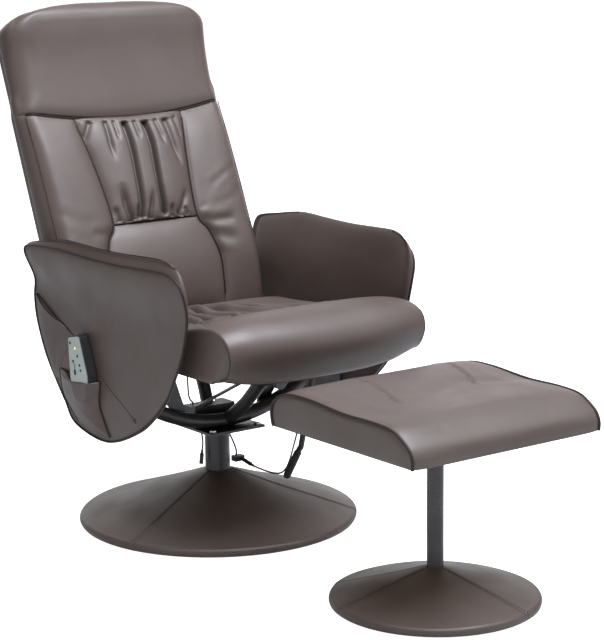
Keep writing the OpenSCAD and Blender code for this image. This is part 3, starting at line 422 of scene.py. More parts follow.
area_light("overhead", (0.2, -1.5, 5.0), (4.2, 3.6), 740, (0.88, 0.92, 1.0))
area_light("key", (2.4, -2.2, 2.2), (1.8, 1.8), 20, (0.88, 0.93, 1.0))
area_light("fill", (-3.4, -1.6, 2.0), (2.0, 2.4), 16, (1.0, 0.84, 0.76))
area_light("backdrop", (2.2, 3.6, 1.4), (7.0, 3.0), 85, (0.98, 0.98, 1.0))
scene.view_settings.view_transform = "Standard"
WORLD_COLOUR, WORLD_STRENGTH = (1.0, 0.93, 0.90, 1), 0.22
WHITE = (1, 1, 1, 1)


def make_world():
    """A dim warm world for the piece, and a white one behind it."""
    world = bpy.data.worlds.new("world")
    scene.world = world
    world.use_nodes = True
    tree = world.node_tree
    dim = tree.nodes["Background"]
    set_inputs(tree, dim, {"Color": WORLD_COLOUR, "Strength": WORLD_STRENGTH})
    white = add_node(tree, "ShaderNodeBackground", {"Color": WHITE, "Strength": 1.0})
    seen = add_node(tree, "ShaderNodeLightPath").outputs["Is Camera Ray"]
    both = add_node(tree, "ShaderNodeMixShader", {"Fac": seen, 1: dim.outputs["Background"],
                                                  2: white.outputs["Background"]})
    set_inputs(tree, tree.nodes["World Output"], {"Surface": both.outputs["Shader"]})


make_world()
FLOOR_HALF = 45.0
FLOOR_GLOW = (0.06, 1.0)  # emission to the piece and to the camera


def make_floor():
    half = FLOOR_HALF
    corners = [(-half, -half, 0), (half, -half, 0), (half, half, 0), (-half, half, 0)]
    mesh = bpy.data.meshes.new("floor")
    mesh.from_pydata(corners, [], [(0, 1, 2, 3)])
    material, tree, shader, where = new_material("floor")
    seen = add_node(tree, "ShaderNodeLightPath").outputs["Is Camera Ray"]
    set_inputs(tree, shader, {
        "Base Color": ramp(tree, noise(tree, where, 0.8),
                           [(0.3, (0.54, 0.54, 0.54)), (0.7, (0.56, 0.56, 0.56))]),
        "Roughness": 0.9, "Emission Color": WHITE,
        "Emission Strength": spread(tree, seen, *FLOOR_GLOW)})
    mesh.materials.append(material)
    add_object("floor", mesh)


make_floor()


# ---- leads: the same routes as their solids ----
LEAD_R = 1.75
LEADS = {  # route, where the far end goes, pieces on the cord
    "seat_lead": ([
        [-90, -32, 346.8], [-90, -32, 334], [-89, -30, 318], [-85, -25, 301], [-79, -17, 283],
        [-72, -8, 266], [-63, 1, 254], [-54, 8, 247], [-50, 10, 243], [-50, 10, 240],
        [-50, 10, 237.5]], "object", []),
    "power_lead": ([
        [-38, 0, 192], [-38, 0, 184], [-36, 0, 172], [-35, 0, 160], [-36, 0, 152], [-37, 0, 146]],
        "connector", ["power_socket"]),
    "motor_lead": ([
        [34, 16, 192], [34, 16, 184], [37, 13, 170], [42, 9, 155], [46, 5, 141], [48, 3, 131],
        [48, 3, 121]], "connector", ["lead_splitter"]),
    "link_lead": ([
        [58, -44, 106], [59, -52, 105], [62, -66, 103], [66, -82, 101], [72, -97, 100],
        [80, -108, 102], [89, -113, 112], [98, -114, 130], [108, -114, 158], [119, -114, 190],
        [131, -114, 225], [143, -114, 262], [151, -114, 292], [153, -112, 315],
        [153, -112, 341.8]], "object", ["link_plug"]),
}


def make_lead(name, points):
    path = curve(points, 4)
    data = bpy.data.curves.new(name + "_cord", "CURVE")
    data.dimensions = "3D"
    data.bevel_depth = LEAD_R * MM
    data.bevel_resolution = 3
    data.use_fill_caps = True
    line = data.splines.new("POLY")
    line.points.add(len(path) - 1)
    for point, place in zip(line.points, path * MM):
        point.co = (*place, 1)
    obj = add_object(name + "_cord", data)
    data.materials.append(black_rubber)
    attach(obj, "carriage")
    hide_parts(name)


for lead, (points, far_end, with_nodes) in LEADS.items():
    make_lead(lead, points)


# ---- pressure in the pads ----
SIM_FRAMES = 20
CLOTH = {"quality": 5, "mass": 0.3, "tension_stiffness": 18, "compression_stiffness": 12,
         "shear_stiffness": 8, "bending_stiffness": 12.0}
jobs = []


def fill_later(obj, rings, is_free, pressure, cap):
    """Notes a pad for the cloth run: its seams are held, and no point moves more than cap mm."""
    n = len(rings[0])
    held = [i * n + j for i in range(len(rings)) for j in range(n) if not is_free(i, j)]
    held += [len(rings) * n, len(rings) * n + 1]
    jobs.append((obj, held, pressure, cap))


def coordinates(mesh):
    co = np.zeros(len(mesh.vertices) * 3, np.float64)
    mesh.vertices.foreach_get("co", co)
    return co.reshape(-1, 3)


def fill_pads():
    """Steps all the pads' cloth together, then keeps what it moved as their shape."""
    for obj, held, pressure, _ in jobs:
        obj.vertex_groups.new(name="held").add(held, 1.0, "REPLACE")
        cloth = obj.modifiers.new("cloth", "CLOTH")
        for key, value in CLOTH.items():
            setattr(cloth.settings, key, value)
        cloth.settings.vertex_group_mass = "held"
        cloth.settings.use_pressure = True
        cloth.settings.uniform_pressure_force = pressure
        cloth.settings.effector_weights.gravity = 0.0
        cloth.collision_settings.use_collision = False
        cloth.point_cache.frame_start = 1
        cloth.point_cache.frame_end = SIM_FRAMES
    for f in range(1, SIM_FRAMES + 1):
        scene.frame_set(f)
    graph = bpy.context.evaluated_depsgraph_get()
    for obj, _, _, cap in jobs:
        rest = coordinates(obj.data)
        moved = coordinates(obj.evaluated_get(graph).data) - rest
        far = np.linalg.norm(moved, axis=1)
        kept = np.minimum(far, cap * MM) / np.maximum(far, 1e-9)
        obj.modifiers.clear()
        obj.vertex_groups.clear()
        obj.data.vertices.foreach_set("co", (rest + moved * kept[:, None]).ravel())
        obj.data.update()
    scene.frame_set(1)


# ---- backrest, in its own upright frame: x across, y behind the front face, s up its length ----
BACK_Y, BACK_Z, BACK_TILT = 141.0, 420.0, math.radians(22)
BACK_LEN, BACK_W, HEAD_W, FOAM_T, BACK_LOW = 652.0, 484.0, 476.0, 54.0, -20.0
CORNER_S, CORNER_POWER = 72.0, 2.6
HEAD_SEAM_S, HEAD_SEAM_SAG, LUMBAR_SEAM_S = 429.0, 29.0, 177.0
SIDE_ROLL, SIDE_DROP, TOP_ROLL, TOP_DROP = 30.0, 22.0, 34.0, 30.0
FACE_LINE = curve([[-0.04, 0.25], [0.05, 0.02], [0.14, -0.13], [0.25, -0.13], [0.4, -0.08], [0.53, 0],
                   [0.62, 0.1], [0.7, 0.13], [0.77, 0.07], [0.84, -0.06], [0.91, -0.28], [0.97, -0.44],
                   [1.01, -0.36]], 8)
CENTRE_LINE = curve([[-0.04, 0.54], [0.05, 0.56], [0.14, 0.56], [0.22, 0.5], [0.277, 0.42],
                     [0.45, 0.46], [0.64, 0.55]], 6)


def back_face(s):
    return FOAM_T * np.interp(s / BACK_LEN, FACE_LINE[:, 0], FACE_LINE[:, 1])


def back_half(s):
    width = mix(BACK_W, HEAD_W, smooth((s - HEAD_SEAM_S) / SIDE_ROLL)) / 2
    over = np.clip((s - BACK_LEN + CORNER_S) / CORNER_S, 0, 1)
    return width * np.maximum(0.02, 1 - over**CORNER_POWER) ** (1 / CORNER_POWER)


def centre_half(s):
    return BACK_W / 2 * np.interp(s / BACK_LEN, CENTRE_LINE[:, 0], CENTRE_LINE[:, 1])


def head_seam(x):
    return HEAD_SEAM_S - HEAD_SEAM_SAG * (1 - np.minimum(1, np.abs(x) / (BACK_W / 2)) ** 2)


def edge_fall(x, s):
    side = SIDE_DROP * np.clip((np.abs(x) - back_half(s) + SIDE_ROLL) / SIDE_ROLL, 0, 1) ** 2
    top = TOP_DROP * np.clip((s - BACK_LEN + TOP_ROLL) / TOP_ROLL, 0, 1) ** 2
    return side + top


def back_world(p):
    p = np.asarray(p, float)
    c, n = math.cos(BACK_TILT), math.sin(BACK_TILT)
    return np.stack([p[..., 0], BACK_Y + p[..., 1] * c + p[..., 2] * n,
                     BACK_Z - p[..., 1] * n + p[..., 2] * c], -1)


BACK_OUT = np.array([0, -math.cos(BACK_TILT), math.sin(BACK_TILT)])
SIDE_STEPS = np.linspace(0, 1, 9)[1:]
PAD_CROWN, PAD_GROOVE, SEAM_DEPTH, SEAM_REACH = 11.0, 5.0, 3.2, 7.0
OPEN_BOW, SEWN_DRAW = 2.5, 1.5  # how far an open side bows out, and a sewn one is drawn in


def pad_crown(a, b, crown, groove):
    swell = crown * (1 - np.abs(2 * a - 1) ** 3) * (1 - np.abs(2 * b - 1) ** 4)
    return swell - groove


def seam_dip(a, b, width_mm, height_mm, sides):
    """The pad rolls down into each named seam: l and r are its sides, t and b its ends."""
    dip = np.zeros(np.shape(a))
    for key, away in (("l", a * width_mm), ("r", (1 - a) * width_mm),
                      ("b", b * height_mm), ("t", (1 - b) * height_mm)):
        if key in sides:
            dip = np.maximum(dip, SEAM_DEPTH * np.exp(-((away / SEAM_REACH) ** 1.4)))
    return dip


def pad_side(x, y, s, way, is_open):
    """The pad's wall from its front edge to its back; way is 1 to the right and -1 to the left."""
    q = SIDE_STEPS
    out = OPEN_BOW * np.sin(math.pi * q) if is_open else -SEWN_DRAW * q
    return np.stack([x + way * out, mix(y, FOAM_T, q), s + 0 * q], 1)


def make_pad(node, x_left, x_right, s_low, s_top, cols, rows, pressure, cap, crown=PAD_CROWN,
             seams="lrbt", open_sides="", folds=None, spacing=None):
    """A pad of cols by rows points between its seams: a crowned front, walls and a flat back."""
    b_line = np.linspace(0, 1, rows) if spacing is None else spacing(np.linspace(0, 1, rows))
    a_line = np.linspace(0, 1, cols)
    rings = []
    for b in b_line:
        s0 = mix(s_low(0.0), s_top(0.0), b)
        x = mix(x_left(s0), x_right(s0), a_line)
        s = mix(s_low(x), s_top(x), b)
        width, height = x[-1] - x[0], s_top(0.0) - s_low(0.0)
        y = back_face(s) + edge_fall(x, s) - pad_crown(a_line, b, crown, PAD_GROOVE)
        y = y + seam_dip(a_line, b, width, height, seams)
        if folds:
            y = y + folds(x, s, a_line)
        right = pad_side(x[-1], y[-1], s[-1], 1, "r" in open_sides)
        left = pad_side(x[0], y[0], s[0], -1, "l" in open_sides)[::-1]
        rings.append(np.vstack([np.stack([x, y, s], 1), right, left]))
    points, faces = solid(rings)
    obj = skin(node, (back_world(points), faces), "backrest")
    fill_later(obj, rings, lambda i, j: 0 < j < cols - 1 and 0 < i < rows - 1, pressure, cap)


def ends_denser(t):
    return np.sin(t * math.pi / 2)


GAP = 0.15  # between two pads, to each side of their seam
BOLSTER_FOLDS = [  # folds that the photograph shows on the bolster at the sitter's left
    ([[228, 278], [180, 256], [136, 230]], 2.4, 6), ([[102, 168], [143, 161], [190, 160]], 4.5, 7),
    ([[110, 160], [135, 130], [191, 111]], 3.6, 9), ([[236, 232], [185, 201], [126, 193]], 2.0, 8),
    ([[112, 150], [128, 112], [140, 80]], 2.5, 7),
]
OTHER_FOLDS = [  # a calmer set for the other bolster
    ([[-102, 168], [-135, 158], [-170, 160]], 2.4, 7),
    ([[-230, 215], [-186, 190], [-140, 182]], 1.4, 9),
]
BOLSTER_SHALLOWER, BOLSTER_WIDER = 0.62, 1.15


def bolster_folds(x, s, a):
    depth = np.zeros(np.shape(x))
    for path, d, w in BOLSTER_FOLDS + OTHER_FOLDS:
        depth = depth + crease(x, s, path, BOLSTER_SHALLOWER * d, BOLSTER_WIDER * w)
    return depth


GATHER_FOLDS = [  # line from end to end, depth, width, how soon it fades in and out
    ([[-20, 392], [-22, 317], [-30, 213], [-36, 182]], 11, 6.5, 0.02, 0.05),
    ([[28, 390], [29, 339], [21, 252], [19, 180]], 12, 6.5, 0.02, 0.05),
    ([[79, 392], [83, 335], [90, 262]], 8, 8, 0.03, 0.5),
    ([[-64, 396], [-68, 347], [-69, 300]], 5.5, 5.5, 0.03, 0.5),
    ([[-98, 398], [-112, 372], [-126, 350]], 5, 6, 0.05, 0.4),
    ([[-70, 262], [-65, 208], [-59, 178]], 8, 7.5, 0.4, 0.03),
    ([[3, 246], [-8, 205], [-16, 179]], 6.5, 5.5, 0.5, 0.03),
    ([[88, 240], [70, 205], [52, 179]], 4.5, 7, 0.4, 0.05),
    ([[54, 392], [57, 356], [58, 326]], 4, 4.5, 0.03, 0.5),
    ([[4, 392], [3, 366], [2, 345]], 4, 4, 0.03, 0.5),
    ([[-44, 396], [-46, 366], [-48, 345]], 3.5, 4, 0.03, 0.5),
    ([[104, 396], [108, 360], [108, 330]], 3.5, 5, 0.03, 0.5),
    ([[-92, 215], [-90, 195], [-88, 180]], 4, 5, 0.4, 0.03),
    ([[40, 208], [38, 192], [37, 179]], 4, 4, 0.4, 0.03),
    ([[72, 200], [74, 190], [76, 179]], 3.5, 4, 0.4, 0.03),
    ([[-38, 215], [-41, 196], [-44, 180]], 3.5, 4, 0.4, 0.03),
]
GATHER_PUFF = 7.0
GATHER_CUTS = ((0.85, 0.85, 0.1), (0.55, 2.2, 0.0))  # share of depth and width, and the ridge beside


def gather_folds(x, s, a):
    """A puffed panel with each fold cut twice, narrow and wide."""
    depth = -GATHER_PUFF * (1 - np.abs(2 * a - 1) ** 4) * np.ones(np.shape(x))
    for path, d, w, f0, f1 in GATHER_FOLDS:
        for deep, wide, ridge in GATHER_CUTS:
            depth = depth + crease(x, s, path, deep * d, wide * w, f0, f1, ridge)
    return depth


def level(s):
    """A straight pad end at s."""
    return lambda x: s + 0 * np.asarray(x, float)


def centre_left(s):
    return GAP - centre_half(s)


def centre_right(s):
    return centre_half(s) - GAP


def under_head_seam(x):
    return head_seam(x) - GAP


make_pad("head_cushion", lambda s: -back_half(s), back_half, lambda x: head_seam(x) + GAP,
         level(BACK_LEN), 84, 60, 0.8, 1.2, seams="b", open_sides="lr", spacing=ends_denser)
make_pad("bolster_right", lambda s: -back_half(s), lambda s: -(centre_half(s) + GAP), level(BACK_LOW),
         under_head_seam, 46, 110, 1.6, 3.0, seams="rt", open_sides="l", folds=bolster_folds)
make_pad("bolster_left", lambda s: centre_half(s) + GAP, back_half, level(BACK_LOW), under_head_seam,
         46, 110, 1.6, 3.0, seams="lt", open_sides="r", folds=bolster_folds)
make_pad("gathered_panel", centre_left, centre_right, level(LUMBAR_SEAM_S + GAP), under_head_seam,
         130, 90, 0.8, 1.5, folds=gather_folds)
make_pad("lumbar_pad", centre_left, centre_right, level(BACK_LOW), level(LUMBAR_SEAM_S - GAP),
         64, 50, 1.6, 3.0, crown=14.0, seams="lrt")


def front_y(x, s):
    """The front face's depth at a seam."""
    return back_face(s) + edge_fall(x, s) + PAD_GROOVE


def back_line(x, s, lift):
    x, s = np.asarray(x, float), np.asarray(s, float)
    return back_world(np.stack([x, front_y(x, s) - lift, s], -1))


SEAM_R, TRIM_R, SIDE_SEAM_IN = 1.3, 0.9, 8.0
HEAD_STITCH_OFF, CENTRE_STITCH_OFF = 5.0, 4.5


def make_back_seams():
    """Seam cords with rows of stitches beside them; the dark cords in the seams' gaps paint the gaps'
    shade.
    """
    xs = np.linspace(-232, 232, 120)
    rows = [stitches(back_line(xs, head_seam(xs) + off, 4.6), BACK_OUT)
            for off in (-HEAD_STITCH_OFF, HEAD_STITCH_OFF)]
    seams = [tube(back_line(xs, head_seam(xs), -1.0), SEAM_R, BACK_OUT)]
    for side in (-1, 1):
        s = np.linspace(10, 392, 80)
        row = back_line(side * (centre_half(s) + CENTRE_STITCH_OFF), s, 4.3)
        rows.append(stitches(row, BACK_OUT))
        seams.append(tube(back_line(side * centre_half(s), s, -1.0), SEAM_R, BACK_OUT))
        s = np.linspace(0, HEAD_SEAM_S - 6, 90)
        x = side * (back_half(s) - SIDE_SEAM_IN)
        share = SIDE_SEAM_IN / (back_half(s) - centre_half(s))
        crowned = front_y(x, s) - pad_crown(share, 0.5, PAD_CROWN, 0.0)
        seams.append(tube(back_world(np.stack([x, crowned, s], -1)), TRIM_R, BACK_OUT))
    end = centre_half(LUMBAR_SEAM_S) - 2
    xs = np.linspace(-end, end, 40)
    seams.append(tube(back_line(xs, 0 * xs + LUMBAR_SEAM_S, -0.5), SEAM_R, BACK_OUT))
    trims("back_seams", seams, "backrest")
    stitching("back_stitches", rows, "backrest")


make_back_seams()

PADS_REAR = FOAM_T + 0.3  # just behind the front pads
REAR_START, REAR_T = PADS_REAR + 9 + 5.3, 24.0  # behind the bars and the board
BOARD_HALF, BOARD_TOP = 226.0, BACK_LEN - CORNER_S
REAR_FINE, REAR_ROLL = 40.0, 16.0  # down from the top: closer rows, and the edge that rolls over
REAR_SEAM_IN, REAR_SEAM_DEPTH, REAR_SEAM_W = 20.0, 1.6, 2.2


def rear_pad():
    """The pad behind the board, wrapped forward round the board's edges."""
    rings = []
    fine = BACK_LEN - REAR_FINE
    rows = np.concatenate([np.linspace(BACK_LOW, fine, 60),
                           fine + REAR_FINE * ends_denser(np.linspace(0, 1, 16))[1:]])
    u = np.linspace(1, -1, 61)
    for s in rows:
        w = float(back_half(s)) - 5
        if s < BOARD_TOP:
            w = max(w, BOARD_HALF + 3)
        low = smooth((s - BACK_LOW) / 34) ** 0.5
        high = smooth((BACK_LEN - s) / 46) ** 0.5
        thick = REAR_T * (0.35 + 0.65 * low * high)
        flat = 1 - 0.8 * np.abs(u) ** 5
        from_seam = (np.abs(u) * w - w + REAR_SEAM_IN) / REAR_SEAM_W
        seam = REAR_SEAM_DEPTH * np.exp(-(from_seam**2)) if w > 60 else 0
        front = PADS_REAR if s > BOARD_TOP + 4 else REAR_START
        rolled = math.sqrt(max(0.04, 1 - (max(0.0, s - BACK_LEN + REAR_ROLL) / REAR_ROLL) ** 2))
        y = PADS_REAR + (REAR_START + thick * flat - seam - PADS_REAR) * rolled
        rim = min(BOARD_HALF + 1, w - 1.5)
        half = [[w, PADS_REAR, s], [rim + 0.5, PADS_REAR, s], [rim, front, s], [rim / 3, front, s]]
        base = [[-x, y0, s0] for x, y0, s0 in half] + half[::-1]
        rings.append(np.vstack([base, np.stack([u * w, y, 0 * u + s], 1)]))
    points, faces = solid(rings)
    skin("rear_pad", (back_world(points), faces), "backrest")


rear_pad()


# ---- seat ----
SEAT_W, SEAT_FRONT, SEAT_REAR, SEAT_BOTTOM = 458.0, -404.0, 126.0, 378.0
SEAT_TOP_FRONT, SEAT_LIP = 478.0, 358.0
SEAT_DEPTH, SEAT_RISE = SEAT_REAR - SEAT_FRONT, SEAT_TOP_FRONT - SEAT_LIP
SEAT_TOP_SHARE = [[0, 0.38], [0.03, 0.48], [0.2, 0.53], [0.42, 0.63], [0.615, 0.81], [0.785, 0.99],
                  [0.89, 0.985], [0.964, 0.83], [1, 0.585], [0.996, 0.335], [0.964, 0.1], [0.93, 0]]
SEAT_LOW_SHARE = [[0, 0], [0.03, 0], [0.2, 0], [0.42, 0], [0.615, 0], [0.785, 0], [0.84, 0],
                  [0.862, 0], [0.875, 0.2], [0.882, 0.6], [0.89, 0.85], [0.90, 1]]
SEAT_TOP_LINE, SEAT_LOW_LINE = curve(SEAT_TOP_SHARE, 12), curve(SEAT_LOW_SHARE, 12)
SEAT_ARCH, SEAT_LIP_RISE, SEAT_SKIRT, SEAT_SKIRT_T = 27.0, 16.0, 11.0, 7.0
SEAT_SIDE_BOW, SEAT_SWELL = 3.5, 3.0
SEAT_SEAM_MIDDLE, SEAT_SEAM_CURVE, SEAT_SEAM_DEPTH, SEAT_SEAM_WIDTH = -97, 76, 7.5, 9


def seat_seam_y(x):
    return SEAT_SEAM_MIDDLE - SEAT_SEAM_CURVE * (x / (SEAT_W * 0.3)) ** 2


def seat_width(t):
    return SEAT_W / 2 - 8 * smooth((t - 0.6) * 2.5) - 3 * (1 - smooth(t * 8))


def seat_back(t, u):
    return SEAT_ARCH * u * u * smooth((t - 0.45) * 2.2)


def seat_lift(t, u):
    return SEAT_LIP_RISE * np.abs(u) ** 4 * smooth((t - 0.8) * 6)


SEAT_PLEATS = [  # across at the seam, across at the rear end, length, depth, width
    (-168, -126, 120, 5, 9), (-132, -96, 165, 7, 8), (-104, -70, 120, 6, 7), (-76, -50, 180, 8, 9),
    (-46, -30, 130, 7, 7), (-18, -8, 190, 8.5, 9), (12, 10, 135, 7, 7), (40, 28, 180, 8, 9),
    (68, 48, 125, 6.5, 7), (96, 70, 170, 7.5, 8), (126, 94, 120, 6, 7), (158, 120, 140, 6, 9),
]
PLEAT_REACH, PLEAT_DEEPER, PLEAT_WIDER = 1.3, 2.3, 1.25  # all pleats together, times the rows above


def seat_folds(x, y):
    """The cross seam's channel, and the pleats that run back from it."""
    depth = SEAT_SEAM_DEPTH * np.exp(-(((y - seat_seam_y(x)) / SEAT_SEAM_WIDTH) ** 2))
    depth = depth * (1 - np.abs(x / (SEAT_W / 2)) ** 6)
    for x0, x1, length, d, w in SEAT_PLEATS:
        start = seat_seam_y(x0)
        reach = PLEAT_REACH * length
        path = [[x0, start + 4], [mix(x0, x1, 0.6), start + reach * 0.5], [x1, start + reach]]
        depth = depth + crease(x, y, path, PLEAT_DEEPER * d, PLEAT_WIDER * w, 0.04, 0.4)
    return depth


def make_seat():
    """The cushion from rear (t = 0) to front (t = 1): its top, sides and hollow underside."""
    u = np.linspace(-1, 1, 101)
    q_side = np.linspace(0, 1, 14)[1:]
    rings = []
    for t in np.linspace(0, 1, 150):
        a, b = at_share(SEAT_TOP_LINE, t), at_share(SEAT_LOW_LINE, t)
        top = np.array([SEAT_REAR - a[0] * SEAT_DEPTH, SEAT_LIP + a[1] * SEAT_RISE])
        low = np.array([SEAT_REAR - b[0] * SEAT_DEPTH, mix(SEAT_BOTTOM, SEAT_LIP, b[1])])
        w = seat_width(t)
        down = 0.1 * np.abs(u) ** 4 + 0.03 * np.abs(u) ** 14
        y = mix(top[0], low[0], down) + seat_back(t, u)
        z = mix(top[1], low[1], down) + seat_lift(t, u) * (1 - smooth(2 - 2 * t))
        z = z - seat_folds(u * w, y) * smooth((0.72 - t) * 12)
        z = z + SEAT_SWELL * (1 - np.abs(u) ** 6) * smooth((t - 0.3) * 5) * smooth((0.95 - t) * 8)
        front = np.stack([u * w, y, z], 1)
        arch, lift = seat_back(t, 1.0), seat_lift(t, 1.0)
        edge = min(low[1], SEAT_BOTTOM - SEAT_SKIRT * smooth(t * 14)) + lift
        side = mix(front[-1], np.array([w, low[0] + arch, edge]), q_side[:, None])
        side[:, 0] -= SEAT_SIDE_BOW * np.sin(math.pi * q_side) * smooth((t - 0.03) * 20)
        inner = w - SEAT_SKIRT_T
        under_u = np.linspace(1, -1, 9)
        under = np.stack([under_u * inner, low[0] + seat_back(t, under_u),
                          low[1] + seat_lift(t, under_u)], 1)
        rings.append(np.vstack([front, side, [[inner, low[0] + arch, edge]], under,
                                [[-inner, low[0] + arch, edge]], side[::-1] * np.array([-1, 1, 1])]))
    cols, count = len(u), len(rings)
    obj = skin("seat_cushion", solid(rings), "seat")
    fill_later(obj, rings, lambda i, j: 0 < j < cols - 1 and 3 < i < count - 2, 1.6, 3.0)
    rings = np.array(rings)
    roll = rings[int(0.6 * count):-1]
    seams = [tube(roll[:, j], TRIM_R, (0, 0, 1)) for j in (0, cols - 1)]
    seams.append(tube(rings[-2][2:cols - 2], TRIM_R, (0, 0, 1)))
    trims("seat_seams", seams, "seat")


make_seat()


# ---- arms ----
ARM_INNER, ARM_T, ARM_FRONT, ARM_LEN, ARM_LOW, ARM_H = 248.5, 14.0, -285.0, 545.0, 205.0, 360.0
ARM_FLARE, ARM_CREST, ARM_REAR_CREST, ARM_NOSE, ARM_TUCK = 29.0, 26.0, 10.0, 13.0, 14.0
ARM_SHARE = [[0.985, 0.94], [0.931, 0.985], [0.732, 1], [0.543, 0.99], [0.359, 0.986], [0.18, 0.994],
             [0.07, 0.995], [0.01, 0.965], [-0.016, 0.9], [-0.018, 0.81], [-0.006, 0.71], [0.024, 0.57],
             [0.071, 0.444], [0.127, 0.318], [0.226, 0.186], [0.319, 0.097], [0.471, 0.004],
             [0.594, -0.008], [0.737, 0.04], [0.794, 0.137], [0.851, 0.232], [0.918, 0.36],
             [0.963, 0.491], [0.987, 0.599], [0.992, 0.706], [0.975, 0.802]]
ARM_MIDDLE = np.array([0.52, 0.55])
ARM_SWELL, ARM_DISH, ARM_EDGE_ROLL, BOXING_BULGE = 9.0, 1.6, 9.0, 3.2
OUTER_RINGS = (0.04, 0.15, 0.3, 0.45, 0.6, 0.72, 0.82, 0.9, 0.95, 0.98, 1.0)
BOXING_RINGS = (0.12, 0.28, 0.44, 0.58, 0.7)
INNER_RINGS = (0.992, 0.98, 0.965, 0.945, 0.9, 0.8, 0.65, 0.45, 0.25, 0.05)


def arm_lean(u, v):
    return ARM_FLARE * smooth((v - 0.72) / 0.32) * mix(0.5, 1, smooth(u * 1.5))


def arm_place(u, v, inner):
    """Where a point of the outline lies; inner goes from 0 on the outer face to 1 on the inner."""
    front = 1 - smooth(u * 2.2)
    rear = smooth((u - 0.6) * 2.6)
    top = smooth((v - 0.55) * 2.2)
    forward = (ARM_NOSE * front - ARM_TUCK * rear) * smooth(v * 2)
    y = ARM_FRONT + u * ARM_LEN + inner * forward
    z = ARM_LOW + v * ARM_H + inner * mix(ARM_CREST, ARM_REAR_CREST, rear) * top
    return y, z


def arm_outer_x(u, v, k):
    swell = ARM_SWELL * (1 - k**3) * smooth((v - 0.6) * 3)
    return ARM_INNER + ARM_T + arm_lean(u, v) + swell + ARM_DISH * (1 - k**12) - ARM_DISH


def arm_ring(outline, side, k, inner):
    q = ARM_MIDDLE + (outline - ARM_MIDDLE) * k
    u, v = q[:, 0], q[:, 1]
    y, z = arm_place(u, v, inner)
    if inner > 0.5:
        x = ARM_INNER + arm_lean(u, v) + ARM_EDGE_ROLL * k**18
    else:
        x = arm_outer_x(u, v, k)
    return np.stack([side * x, y, z], 1)


def boxing_ring(outline, side, across):
    k = 1 + 2 * (BOXING_BULGE * math.sin(math.pi * across)) / ARM_H
    q = ARM_MIDDLE + (outline - ARM_MIDDLE) * k
    y, z = arm_place(q[:, 0], q[:, 1], across)
    u, v = outline[:, 0], outline[:, 1]
    x = mix(arm_outer_x(u, v, 1.0), ARM_INNER + arm_lean(u, v) + 1.2, across)
    return np.stack([side * x, y, z], 1)


PIPING_OUT, ARM_PIPING_R, STOOL_PIPING_R = 0.8, 2.3, 2.8


def piped(ring):
    """The ring moved outwards, where its piping lies."""
    out = ring - ring.mean(0)
    out[:, 0] = 0
    out /= np.linalg.norm(out, axis=1)[:, None]
    return ring + out * PIPING_OUT


def make_arm(name, side):
    line = curve(ARM_SHARE, 8, True)
    outline = evenly(np.vstack([line, line[:1]]), 261)[:-1]
    outer = [arm_ring(outline, side, k, 0) for k in OUTER_RINGS]
    boxing = [boxing_ring(outline, side, a) for a in BOXING_RINGS]
    inner = [arm_ring(outline, side, k, 1) for k in INNER_RINGS]
    skin(name, solid(outer + boxing + inner), "carriage")
    trims(name + "_piping", [tube(piped(outer[-1]), ARM_PIPING_R, (1, 0, 0), closed=True)], "carriage")


make_arm("arm_left", 1)
make_arm("arm_right", -1)


# ---- pouches on the arm at the sitter's right ----
def arm_surface(u, v, lift):
    """A point on that arm's outer face, lifted outwards."""
    k = np.clip(np.hypot((u - ARM_MIDDLE[0]) / 0.5, (v - ARM_MIDDLE[1]) / 0.55), 0, 1)
    x = -(arm_outer_x(u, v, k) + lift)
    return np.stack([x, ARM_FRONT + u * ARM_LEN, ARM_LOW + v * ARM_H], -1)


def flap(node, rear, front, low, mouth, depth, rows, cols):
    """A sewn pouch panel: rear and front edges run down from the mouth, low is its bottom edge."""
    rear, front = evenly(curve(rear, 8), rows), evenly(curve(front, 8), rows)
    a = 0.5 - 0.5 * np.cos(np.linspace(0, math.pi, cols))
    across = a[:, None]
    bottom, top = (at_share(evenly(curve(line, 8), 200), a) for line in (low, mouth))
    low_straight = rear[-1] + (front[-1] - rear[-1]) * across
    top_straight = rear[0] + (front[0] - rear[0]) * across
    places = []
    for i, b in enumerate(np.linspace(0, 1, rows)):
        row = rear[i] + (front[i] - rear[i]) * across
        places.append(row + (bottom - low_straight) * b**2 + (top - top_straight) * (1 - b) ** 2)
    edge = np.vstack([[r[0] for r in places], places[-1], [r[-1] for r in places[::-1]]])
    rings, outer = [], []
    for row, b in zip(places, np.linspace(0, 1, rows)):
        lift, thick = depth(a, b, row, edge)
        outer.append(arm_surface(row[:, 0], row[:, 1], lift + thick))
        rings.append(np.vstack([outer[-1], arm_surface(row[:, 0], row[:, 1], lift)[::-1]]))
    skin(node, solid(rings), "carriage")
    return np.array(outer)


def magazine_depth(a, b, row, edge):
    open_part = np.sin(math.pi * np.clip(a / 0.62, 0, 1)) ** 0.8
    thick = mix(0.3, 1.8, smooth((1 - a) * 5) * smooth((1 - b) * 6))
    return 5.5 * open_part * (1 - b) ** 1.4, thick


magazine_rows = flap(
    "magazine_pocket", [[0.972, 0.702], [0.973, 0.62], [0.95, 0.5], [0.905, 0.37], [0.86, 0.25]],
    [[0.713, 0.52], [0.743, 0.47], [0.79, 0.4], [0.815, 0.33], [0.82, 0.25]],
    [[0.86, 0.25], [0.84, 0.245], [0.82, 0.25]],
    [[0.972, 0.70], [0.911, 0.645], [0.842, 0.595], [0.79, 0.572], [0.713, 0.52]],
    magazine_depth, 40, 50)

HANDSET_Y, HANDSET_Z, HANDSET_W, HANDSET_LEN, HANDSET_LEAN = 57.0, 338.0, 68.0, 130.0, math.radians(12)
HANDSET_X, HANDSET_T = 265.6, 20.0
LEAN_COS, LEAN_SIN = math.cos(HANDSET_LEAN), math.sin(HANDSET_LEAN)
POUCH_LIFT, POUCH_T = 24.4, 1.8


